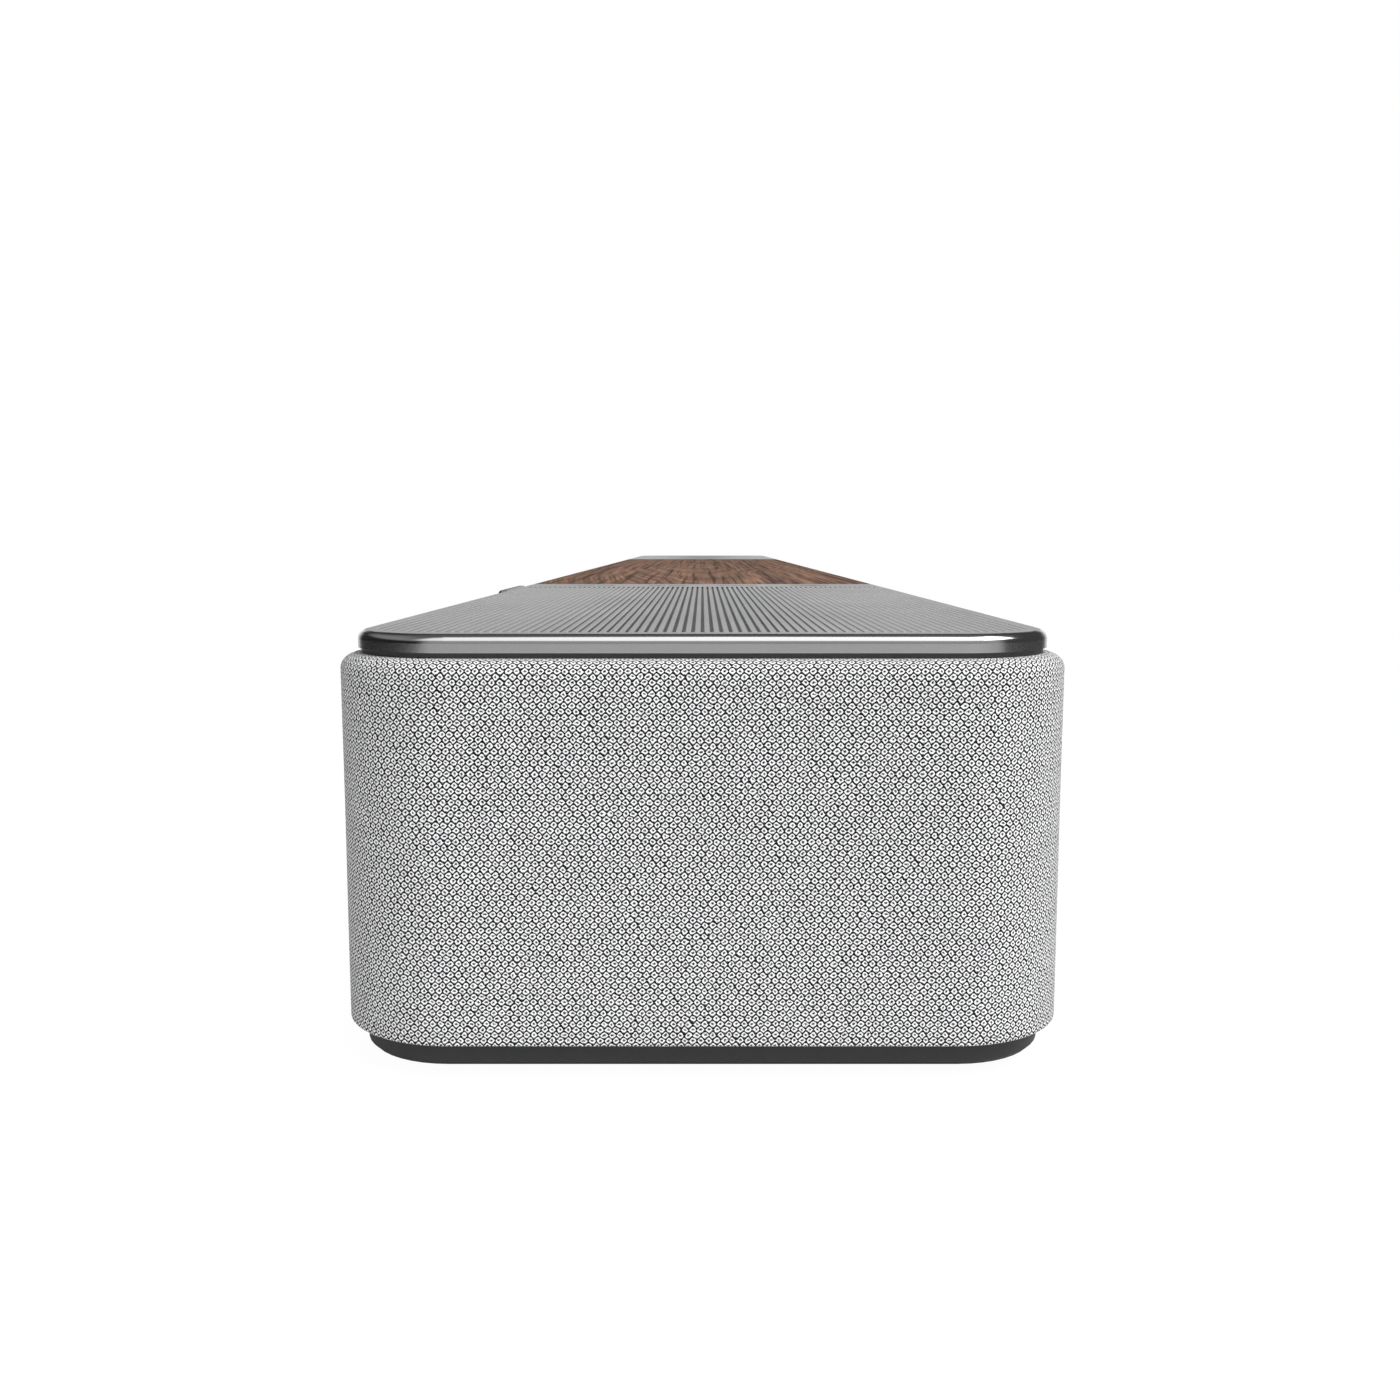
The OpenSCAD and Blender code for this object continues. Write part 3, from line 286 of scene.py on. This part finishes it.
MARK_DEPTH = 0.12 * MM
PLATE_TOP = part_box("power_button")[1].z
MARK_FLOOR = PLATE_TOP - MARK_DEPTH
GROOVES_END = 549.9 * MM  # the grooves lie within this distance of the middle, along the bar
GROOVES_SIDE = 56.1 * MM  # and within this one across it
GROOVES_FADE = 0.1 * MM
GROOVE_SHADE_START = 0.005 * MM  # depth at which the painted shade in a groove starts
GROOVE_SHADE_FULL = 0.07 * MM  # depth from which a groove's painted shade is full
POLISHED = 0.15


def anodised(name, low, high, rough, inked=False, shade_grooves=False):
    """Bead-blasted grey anodised aluminium, its rounded edges polished. Marks cut into it hold white
    ink, and the grooves get painted shade inside, darker with depth."""
    recipe = Recipe(name, metallic=1.0)
    grain = recipe.cloud(0.12 * MM, detail=1.0)
    stain = recipe.cloud(35 * MM, detail=3.0)
    _, _, up = recipe.normal()
    edge = 1.0 - up.step(0.90, 0.999)
    metal = recipe.blend(grain * 0.3 + stain * 0.7, low, high)
    roughness = (grain - 0.5) * 0.06 + (stain - 0.5) * 0.06 + rough - edge * (rough - POLISHED)
    if shade_grooves:
        x, y, height = recipe.split(recipe.place())
        along = 1.0 - x.magnitude().step(GROOVES_END - GROOVES_FADE, GROOVES_END)
        across = 1.0 - y.magnitude().step(GROOVES_SIDE - GROOVES_FADE, GROOVES_SIDE)
        # painted shade: the base colour darkens inside the grooves with depth, in place of the shade
        # that falls in them
        painted_groove_shade = (1.0 - height.step(PLATE_TOP - GROOVE_SHADE_FULL, PLATE_TOP - GROOVE_SHADE_START)) * (along * across)
        metal = recipe.blend(painted_groove_shade * 0.85, metal, grey(0.06))
        roughness = roughness + painted_groove_shade * 0.15
    if inked:
        _, _, height = recipe.split(recipe.place())
        ink = 1.0 - (height - MARK_FLOOR).magnitude().step(MARK_DEPTH * 0.3, MARK_DEPTH * 0.4)
        mottle = recipe.cloud(0.4 * MM, detail=2.0)
        metal = recipe.blend(ink, metal, recipe.blend(mottle, grey(0.80), grey(0.90)))
        roughness = roughness + ink * 0.2
        recipe.set("Metallic", 1.0 - ink)
    recipe.set("Base Color", metal)
    recipe.set("Roughness", roughness)
    recipe.set("Normal", recipe.bump(grain, 0.002 * MM, strength=0.2))
    return recipe.material


def plated(name, low, high, rough, grain=0.2, stretch=(1, 1, 1)):
    """Plated or bare metal with fine scratches that run along the squeezed axis."""
    recipe = Recipe(name, metallic=1.0)
    scratch = recipe.cloud(grain * MM, recipe.place(stretch), detail=4.0, rough=0.65)
    stain = recipe.cloud(9 * MM, detail=3.0)
    recipe.set("Base Color", recipe.blend(scratch * 0.5 + stain * 0.5, low, high))
    recipe.set("Roughness", rough + (scratch - 0.5) * 0.2 + (stain - 0.5) * 0.12)
    recipe.set("Normal", recipe.bump(scratch, 0.01 * MM, strength=0.5))
    return recipe.material


def winding():
    """Enamelled copper wire wound round a core, under varnish, with painted shade between the turns.
    """
    recipe = Recipe("winding", metallic=0.55, coat_weight=0.4, coat_roughness=0.15)
    _, across, up = recipe.split(recipe.place())
    turns = ((up + across * 0.05) / (0.35 * MM) * math.tau).sine() * 0.5 + 0.5
    stain = recipe.cloud(4 * MM, detail=3.0)
    # painted shade: the copper darkens between the turns, following the same waves as the bump
    copper = recipe.blend(turns * 0.6 + stain * 0.4, (0.16, 0.05, 0.02), (0.62, 0.27, 0.10))
    recipe.set("Base Color", copper)
    recipe.set("Roughness", 0.30 + stain * 0.2)
    recipe.set("Normal", recipe.bump(turns, 0.08 * MM))
    return recipe.material


# ---------------------------------------------------------------- plastics, rubbers, papers


def moulded(name, low, high, rough, grain=0.35, depth=0.02, coat=0.0):
    """Moulded plastic or rubber with a spark-eroded grain, faint sink marks and uneven gloss."""
    recipe = Recipe(name, coat_weight=coat, coat_roughness=0.2)
    skin = recipe.speckle(grain * MM).step(0.0, 0.9)
    fine = recipe.cloud(grain * 0.4 * MM, detail=3.0)
    stain = recipe.cloud(28 * MM, detail=3.0)
    recipe.set("Base Color", recipe.blend(stain * 0.6 + fine * 0.4, low, high))
    recipe.set("Roughness", rough + (stain - 0.5) * 0.12 + (fine - 0.5) * 0.14)
    recipe.set("Normal", recipe.bump(skin * 0.7 + fine * 0.3, depth * MM, strength=0.7))
    return recipe.material


def smoked():
    """Dark glossy window with faint polishing marks."""
    recipe = Recipe("smoked_window", coat_weight=0.6, coat_roughness=0.04)
    haze = recipe.cloud(12 * MM, detail=4.0)
    recipe.set("Base Color", recipe.blend(haze, grey(0.006), (0.018, 0.018, 0.022)))
    recipe.set("Roughness", 0.06 + haze * 0.08)
    return recipe.material


def board():
    """Green solder mask over copper tracks, with tinned pads between them."""
    recipe = Recipe("board", coat_weight=0.3, coat_roughness=0.15)
    x, y, _ = recipe.split(recipe.place())
    bend = recipe.cloud(16 * MM, detail=0.0)
    run = recipe.cloud(7 * MM, detail=0.0).step(0.45, 0.55)
    along = ((x + bend * 0.004) / (1.3 * MM)).fraction().magnitude().step(0.16, 0.22)
    across = ((y + bend * 0.004) / (1.3 * MM)).fraction().magnitude().step(0.16, 0.22)
    track = 1.0 - (along * run + across * (1.0 - run))
    pad = 1.0 - recipe.speckle(5.2 * MM).step(0.12, 0.15)
    green = recipe.blend(track, (0.010, 0.085, 0.035), (0.020, 0.17, 0.065))
    recipe.set("Base Color", recipe.blend(pad, green, (0.55, 0.53, 0.48)))
    recipe.set("Metallic", pad * 0.9)
    recipe.set("Roughness", 0.34 - pad * 0.06 + recipe.cloud(3 * MM) * 0.1)
    recipe.set("Normal", recipe.bump(track.most(pad), 0.03 * MM))
    return recipe.material


def fibrous(name, low, high, rough, depth=0.04):
    """Pressed paper, tape or treated cloth: short crossing fibres in uneven light and dark."""
    recipe = Recipe(name)
    fibre = recipe.cloud(0.5 * MM, recipe.place((1, 0.25, 1)), detail=4.0, rough=0.7)
    other = recipe.cloud(0.5 * MM, recipe.place((0.25, 1, 1)), detail=4.0, rough=0.7)
    felt = fibre.most(other)
    stain = recipe.cloud(6 * MM, detail=3.0)
    recipe.set("Base Color", recipe.blend(felt * 0.7 + stain * 0.3, low, high))
    recipe.set("Roughness", rough + (felt - 0.5) * 0.2)
    recipe.set("Normal", recipe.bump(felt, depth * MM))
    return recipe.material


def spider_cloth():
    """Amber resin-stiffened cloth in an open plain weave."""
    recipe = Recipe("spider_cloth")
    x, _, z = recipe.split(recipe.place())
    warp = (x / (0.6 * MM) * math.tau).sine()
    weft = (z / (0.6 * MM) * math.tau).sine()
    weave = (warp * weft) * 0.5 + 0.5
    stain = recipe.cloud(5 * MM, detail=3.0)
    amber = recipe.blend(weave * 0.5 + stain * 0.5, (0.20, 0.11, 0.03), (0.62, 0.42, 0.17))
    recipe.set("Base Color", amber)
    recipe.set("Roughness", 0.6 + (stain - 0.5) * 0.2)
    recipe.set("Normal", recipe.bump(weave, 0.06 * MM))
    return recipe.material


def ribbon_plastic():
    """Grey flat cable: its parallel cores show as ribs, with painted shade between them."""
    recipe = Recipe("flat_cable")
    x, y, _ = recipe.split(recipe.place())
    cores = ((x + y) / (1.0 * MM) * math.tau).sine() * 0.5 + 0.5
    stain = recipe.cloud(8 * MM, detail=2.0)
    # painted shade: the grey darkens between the cores, following the same waves as the bump
    recipe.set("Base Color", recipe.blend(cores * 0.6 + stain * 0.4, grey(0.34), grey(0.58)))
    recipe.set("Roughness", 0.42 + (stain - 0.5) * 0.15)
    recipe.set("Normal", recipe.bump(cores, 0.08 * MM))
    return recipe.material


# ---------------------------------------------------------------- walnut


def walnut():
    """Walnut veneer: growth rings arched along the bar, fine dark pores, matt lacquer."""
    recipe = Recipe("walnut", specular_ior_level=0.2)
    x, y, _ = recipe.split(recipe.place())
    sway = recipe.cloud(90 * MM, recipe.place((0.35, 1, 1)), detail=2.0) - 0.5
    wobble = recipe.cloud(16 * MM, recipe.place((0.12, 1, 1)), detail=3.0) - 0.5
    side = y / (60 * MM) + sway * 0.5
    arch = side.square() * 3.2 + (x / (230 * MM)).magnitude() * 1.1 + sway * 1.6 + wobble * 0.55
    rings = (arch * (math.tau * 2.6)).sine() * 0.5 + 0.5
    line = ((arch * (math.tau * 7.0)).sine() * 0.5 + 0.5).step(0.55, 0.95)
    streak = recipe.cloud(2.6 * MM, recipe.place((0.006, 1, 1)), detail=3.0, rough=0.6)
    flame = recipe.cloud(40 * MM, recipe.place((0.3, 1, 1)), detail=3.0)
    pore = recipe.cloud(1.1 * MM, recipe.place((0.008, 1, 1)), detail=1.0).step(0.54, 0.64)
    tone = 0.42 + (rings - 0.5) * 0.30 + (streak - 0.5) * 1.3 + (flame - 0.5) * 0.7
    mid = recipe.blend(tone, (0.075, 0.038, 0.025), (0.42, 0.235, 0.150))
    dark = (line * flame.step(0.40, 0.60)).most(pore)
    recipe.set("Base Color", recipe.blend(dark * 0.72, mid, (0.022, 0.014, 0.011)))
    recipe.set("Roughness", 0.66 + pore * 0.15 + (streak - 0.5) * 0.2)
    recipe.set("Normal", recipe.bump(streak * 0.5 - pore * 0.8, 0.02 * MM))
    return recipe.material


MATERIALS = {
    "fabric": knit(),
    "plate_metal": anodised("plate_metal", grey(0.36), grey(0.43), 0.30, shade_grooves=True),
    "button_metal": anodised("button_metal", grey(0.37), grey(0.44), 0.34, inked=True),
    "badge_metal": anodised("badge_metal", grey(0.27), grey(0.33), 0.36),
    "wood": walnut(),
    "adhesive": fibrous("adhesive", (0.55, 0.55, 0.50), (0.82, 0.82, 0.76), 0.6, 0.02),
    "base_plastic": moulded("base_plastic", grey(0.017), grey(0.029), 0.55, grain=0.45),
    # deck_plastic is the black base plastic painted lighter: painted light, so that the shaded reveal
    # under the plates shows brighter
    "deck_plastic": moulded("deck_plastic", grey(0.045), grey(0.065), 0.55, grain=0.45),
    "black_plastic": moulded("black_plastic", grey(0.012), grey(0.024), 0.5),
    "feet_rubber": moulded("feet_rubber", grey(0.010), grey(0.020), 0.8, grain=0.6, depth=0.05),
    "soft_rubber": moulded("soft_rubber", grey(0.012), grey(0.022), 0.6, grain=0.5),
    "circuit_board": board(),
    "chip_plastic": moulded("chip_plastic", grey(0.014), grey(0.030), 0.55, grain=0.2),
    "socket_plastic": moulded("socket_plastic", grey(0.010), grey(0.020), 0.45, grain=0.3),
    "socket_metal": plated("socket_metal", grey(0.48), grey(0.68), 0.28),
    "painted_basket": moulded("painted_basket", grey(0.018), grey(0.034), 0.6, grain=0.6, depth=0.05),
    "magnet_steel": plated("magnet_steel", (0.34, 0.34, 0.35), (0.52, 0.53, 0.55), 0.38, 0.4),
    "spider_cloth": spider_cloth(),
    "cone_paper": fibrous("cone_paper", grey(0.016), (0.052, 0.052, 0.058), 0.75),
    "dome_film": fibrous("dome_film", (0.020, 0.020, 0.024), (0.060, 0.060, 0.068), 0.5, 0.02),
    "heatsink_metal": plated("heatsink_metal", grey(0.50), grey(0.68), 0.34, 0.3, (1, 1, 0.08)),
    "copper_winding": winding(),
    "smoked_window": smoked(),
    "flat_cable": ribbon_plastic(),
    "wire_sleeve": moulded("wire_sleeve", (0.16, 0.010, 0.010), (0.32, 0.025, 0.020), 0.45, grain=0.3),
    "brass": plated("brass", (0.52, 0.36, 0.12), (0.78, 0.58, 0.24), 0.25, 0.15, (1, 0.1, 1)),
    "screw_steel": plated("screw_steel", (0.36, 0.37, 0.39), (0.60, 0.61, 0.64), 0.28, 0.15),
}


def paint(thing, material):
    """Gives every face of a piece the one material."""
    thing.data.materials.clear()
    thing.data.materials.append(material)
    for face in thing.data.polygons:
        face.material_index = 0


for part in frame["record"]["subparts"]:
    paint(frame["nodes"][part["node"]], MATERIALS[part["material_slot"]])


# ---------------------------------------------------------------- the stretched cover

COVER_T = 0.8 * MM
COVER_LIP = 8.0 * MM
TOP_ROUND = (3.1 * MM, 2.6 * MM)
TOP_RISE = 0.4 * MM
HEM_R = 0.4 * MM
CORNER_R = 20.6 * MM
CLEAR = 0.3 * MM
LONG_STEP = 8 * MM  # spacing of the cover's columns on the long sides
SHORT_STEP = 4 * MM  # and on the ends
SAG = 0.06 * MM
SAG_ALONG = 22  # waves of the sag in a metre, along the bar
SAG_UP = 30  # and up the wall
cover_low, cover_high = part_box("grille_fabric")
panel_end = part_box("rear_panel")[1].x + CLEAR
badge_low, badge_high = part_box("badge")
notch_ends = (badge_low.x - CLEAR, badge_high.x + CLEAR)
notch_floor = badge_low.z - CLEAR


def straight(start, end, normal, spacing, stops=()):
    """Points from start to end, both included, with the outward normal, passing through the stops."""
    start, end = Vector(start), Vector(end)
    length = (end - start).length
    marks = sorted({0.0, length, *stops})
    places = []
    for a, b in zip(marks, marks[1:]):
        steps = max(1, round((b - a) / spacing))
        places += [a + (b - a) * k / steps for k in range(steps)]
    places.append(length)
    return [(start + (end - start) * (s / length), Vector(normal)) for s in places]


def corner(centre, start_angle, steps=20):
    """The inner points of a quarter circle in plan, turning anticlockwise from start_angle."""
    points = []
    for k in range(1, steps):
        angle = math.radians(start_angle + 90 * k / steps)
        normal = Vector((math.cos(angle), math.sin(angle), 0))
        points.append((Vector(centre) + CORNER_R * normal, normal))
    return points


def cover_path():
    """The cover's line in plan, from the back panel's left end round the front to its right end."""
    x, y = cover_high.x, cover_high.y
    cx, cy = x - CORNER_R, y - CORNER_R
    stops = [cx + end for end in notch_ends]
    path = straight((-panel_end, y, 0), (-cx, y, 0), (0, 1, 0), LONG_STEP)
    path += corner((-cx, cy, 0), 90)
    path += straight((-x, cy, 0), (-x, -cy, 0), (-1, 0, 0), SHORT_STEP)
    path += corner((-cx, -cy, 0), 180)
    path += straight((-cx, -y, 0), (cx, -y, 0), (0, -1, 0), LONG_STEP, stops)
    path += corner((cx, -cy, 0), 270)
    path += straight((x, -cy, 0), (x, cy, 0), (1, 0, 0), SHORT_STEP)
    path += corner((cx, cy, 0), 0)
    path += straight((cx, y, 0), (panel_end, y, 0), (0, 1, 0), LONG_STEP)
    return path


def arc_section(centre, radii, start, end, steps):
    """Points (inset, height) of an elliptical arc, in degrees from the inward direction."""
    turns = [math.radians(start + (end - start) * k / steps) for k in range(steps + 1)]
    return [(centre[0] + radii[0] * math.cos(a), centre[1] + radii[1] * math.sin(a)) for a in turns]


def climb(inset, start, end, spacing):
    """Points (inset, height) strictly between start and end on a wall."""
    steps = max(2, round(abs(end - start) / spacing))
    return [(inset, start + (end - start) * k / steps) for k in range(1, steps)]


def cover_section():
    """The closed outline of the cover's thickness as (inset, height), from the notch floor outside,
    up over the lip and down inside to the notch floor, then round the hem."""
    low, high = cover_low.z, cover_high.z + TOP_RISE
    shoulder = high - TOP_ROUND[1]
    inner = (TOP_ROUND[0] - COVER_T, TOP_ROUND[1] - COVER_T)
    centre = (TOP_ROUND[0], shoulder)
    upper = [(0.0, notch_floor)]
    upper += climb(0.0, notch_floor, shoulder, 3 * MM)
    upper += arc_section(centre, TOP_ROUND, 180, 90, 8)
    upper.append((COVER_LIP - HEM_R, high))
    upper.append((COVER_LIP, high - COVER_T / 2))
    upper.append((COVER_LIP - HEM_R, high - COVER_T))
    upper += arc_section(centre, inner, 90, 180, 8)
    upper += climb(COVER_T, shoulder, notch_floor, 3 * MM)
    upper += [(COVER_T, notch_floor)]
    lower = climb(COVER_T, notch_floor, low + HEM_R, 4 * MM)
    lower += arc_section((HEM_R, low + HEM_R), (HEM_R, HEM_R), 0, -180, 8)
    lower += climb(0.0, low + HEM_R, notch_floor, 4 * MM)
    return upper, lower


def knitted_cover():
    """The cover as one thin closed shell along the path, notched round the badge."""
    path = cover_path()
    upper, lower = cover_section()
    section = upper + lower
    travel = [0.0]
    for (here, _), (there, _) in zip(path, path[1:]):
        travel.append(travel[-1] + (there - here).length)
    climbed = [0.0]
    for here, there in zip(section, section[1:] + section[:1]):
        climbed.append(climbed[-1] + math.dist(here, there))
    climbed = [c - climbed[-1] if j >= len(upper) else c for j, c in enumerate(climbed[:-1])]
    last = len(upper) - 1

    def notched(i):
        place, normal = path[i]
        return normal.y < -0.99 and notch_ends[0] - CLEAR / 3 < place.x < notch_ends[1] + CLEAR / 3

    vertices = []
    index = {}
    for i, (place, normal) in enumerate(path):
        deep = notched(i) and notched(i - 1) and notched(i + 1)
        for j, (inset, height) in enumerate(section):
            if deep and 0 < j < last:
                continue
            wave = noise.noise(Vector((travel[i] * SAG_ALONG, height * SAG_UP, 0.0)))
            sag = SAG * (1 + wave) * math.sin(math.pi * min(1, max(0, height / cover_high.z)))
            point = place - normal * (inset + sag)
            index[i, j] = len(vertices)
            vertices.append((point.x, point.y, height))
    faces = []
    columns = len(path)
    rows = len(section)
    for i in range(columns - 1):
        gap = notched(i) and notched(i + 1)
        for j in range(rows):
            k = (j + 1) % rows
            if gap and j < last:
                continue
            faces.append([(i, j), (i + 1, j), (i + 1, k), (i, k)])
        if gap:
            faces.append([(i, 0), (i + 1, 0), (i + 1, last), (i, last)])
    faces.append([(0, j) for j in range(rows)])
    faces.append([(columns - 1, j) for j in reversed(range(rows))])
    edges = [i for i in range(1, columns - 1) if notched(i) and notched(i - 1) != notched(i + 1)]
    faces.append([(edges[0], j) for j in reversed(range(last + 1))])
    faces.append([(edges[1], j) for j in range(last + 1)])
    mesh = bpy.data.meshes.new("knit_cover")
    mesh.from_pydata(vertices, [], [[index[corner] for corner in face] for face in faces])
    weave = mesh.uv_layers.new(name="weave")
    places = [(travel[i], climbed[j]) for face in faces for i, j in face]
    for loop, place in zip(weave.data, places):
        loop.uv = place
    cover = bpy.data.objects.new("knit_cover", mesh)
    bpy.context.scene.collection.objects.link(cover)
    mesh.polygons.foreach_set("use_smooth", [True] * len(mesh.polygons))
    mesh.set_sharp_from_angle(angle=math.radians(50))
    return cover, travel[-1], (cover_high.z - cover_low.z) + COVER_LIP


cover, cover_round, cover_cut = knitted_cover()
paint(cover, MATERIALS["fabric"])
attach(cover, "housing")
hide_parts("grille_fabric")


# ---------------------------------------------------------------- the studio


FLOOR_Z = -0.05 * MM
FLOOR_X = (-1.1, 2.2)
FLOOR_Y = (-0.6, 0.6)
FLOOR_GLOW = 0.93  # share of the floor, as the camera sees it, that is plain white
FLOOR_WHITE = 1.04
OPEN_END_TURN = math.radians(12)  # how far the open end of the studio is turned from +X
BOX_LIGHT = (2.2, 3.3)  # strength of the high soft box at its two sides
WALL_LIGHT = 0.72
LOW_STRIP_LIGHT = 1.3
ZENITH_LIGHT = 0.20
FRONT_LIGHT = 0.5
DIM = 0.06
CAMERA_AT = (0.77654, 0.0, 0.08948)
CAMERA_DOWN = 6.708
CAMERA_SHIFT = -0.0018


def floor():
    """A plain pale table top, a little wider than the bar. Seen from below it is clear."""
    mesh = bpy.data.meshes.new("floor")
    corners = [(x, y, FLOOR_Z) for y in FLOOR_Y for x in FLOOR_X]
    mesh.from_pydata(corners, [], [(0, 1, 3, 2)])
    plane = bpy.data.objects.new("floor", mesh)
    bpy.context.scene.collection.objects.link(plane)
    recipe = Recipe("pale_floor", roughness=0.9)
    recipe.set("Base Color", grey(0.82))
    tree = recipe.tree
    glow = recipe.node("ShaderNodeEmission")
    seen = recipe.node("ShaderNodeLightPath").outputs["Is Camera Ray"]
    mixed = recipe.node("ShaderNodeMixShader")
    feed(tree, mixed.inputs[0], Signal(tree, seen) * FLOOR_GLOW)
    feed(tree, mixed.inputs[1], recipe.shader.outputs[0])
    feed(tree, mixed.inputs[2], glow.outputs[0])
    feed(tree, glow.inputs["Strength"], FLOOR_WHITE)
    clear = recipe.node("ShaderNodeBsdfTransparent")
    sides = recipe.node("ShaderNodeMixShader")
    feed(tree, sides.inputs[0], recipe.node("ShaderNodeNewGeometry").outputs["Backfacing"])
    feed(tree, sides.inputs[1], mixed.outputs[0])
    feed(tree, sides.inputs[2], clear.outputs[0])
    feed(tree, tree.nodes["Material Output"].inputs["Surface"], sides.outputs[0])
    paint(plane, recipe.material)


def studio():
    """White behind everything. The light is a soft box high beyond the bar's right end, a grey wall
    under it, a pale strip low beyond the left end, a faint fill high in front, and dark sides."""
    world = bpy.data.worlds.new("studio")
    world.use_nodes = True
    bpy.context.scene.world = world
    tree = world.node_tree
    tree.nodes.clear()
    direction = tree.nodes.new("ShaderNodeTexCoord").outputs["Generated"]
    parts = tree.nodes.new("ShaderNodeSeparateXYZ")
    feed(tree, parts.inputs[0], direction)
    x, y, z = (Signal(tree, parts.outputs[k]) for k in range(3))
    level_length = (1.0 - z.square()).most(0.0001).root()
    ahead = (x * math.cos(OPEN_END_TURN) + y * math.sin(OPEN_END_TURN)) / level_length
    box = z.step(0.42, 0.62) * ahead.step(0.35, 0.70) * y.step(-0.5, 0.5, *BOX_LIGHT)
    fill = (-y).step(0.35, 0.80) * z.step(0.30, 0.55) * FRONT_LIGHT
    above = box + z.step(0.60, 0.95) * ZENITH_LIGHT + fill
    open_end = ahead.step(0.58, 0.78, 0.0, WALL_LIGHT)
    low_far = (-x).step(0.70, 0.96) * (1.0 - z.step(0.14, 0.28)) * LOW_STRIP_LIGHT
    level = (above + low_far + DIM).most(open_end) + y.step(-1.0, 1.0, -0.02, 0.06)
    light = tree.nodes.new("ShaderNodeBackground")
    feed(tree, light.inputs["Strength"], level)
    white = tree.nodes.new("ShaderNodeBackground")
    feed(tree, white.inputs["Color"], grey(1.0))
    mixed = tree.nodes.new("ShaderNodeMixShader")
    feed(tree, mixed.inputs[0], tree.nodes.new("ShaderNodeLightPath").outputs["Is Camera Ray"])
    feed(tree, mixed.inputs[1], light.outputs[0])
    feed(tree, mixed.inputs[2], white.outputs[0])
    out = tree.nodes.new("ShaderNodeOutputWorld")
    feed(tree, out.inputs["Surface"], mixed.outputs[0])


def softbox(name, place, target, size, power):
    """A square or oblong lamp at place, turned to target."""
    light = bpy.data.lights.new(name, "AREA")
    light.shape = "RECTANGLE"
    light.size, light.size_y = size
    light.energy = power
    lamp = bpy.data.objects.new(name, light)
    bpy.context.scene.collection.objects.link(lamp)
    lamp.location = place
    lamp.rotation_euler = (Vector(target) - Vector(place)).to_track_quat("-Z", "Y").to_euler()


def camera():
    """Looks along the bar from just beyond its right end, slightly down."""
    lens = bpy.data.cameras.new("camera")
    lens.lens = 35.0
    lens.sensor_width = 36.0
    lens.shift_x = CAMERA_SHIFT
    lens.clip_start = 0.01
    eye = bpy.data.objects.new("camera", lens)
    bpy.context.scene.collection.objects.link(eye)
    eye.location = CAMERA_AT
    eye.rotation_euler = (math.radians(90 - CAMERA_DOWN), 0.0, math.radians(90))
    bpy.context.scene.camera = eye


floor()
studio()
softbox("key", (0.9, 0.9, 1.3), (0.4, 0.0, 0.05), (1.0, 1.0), 14.0)
camera()
bpy.context.scene.view_settings.view_transform = "Standard"
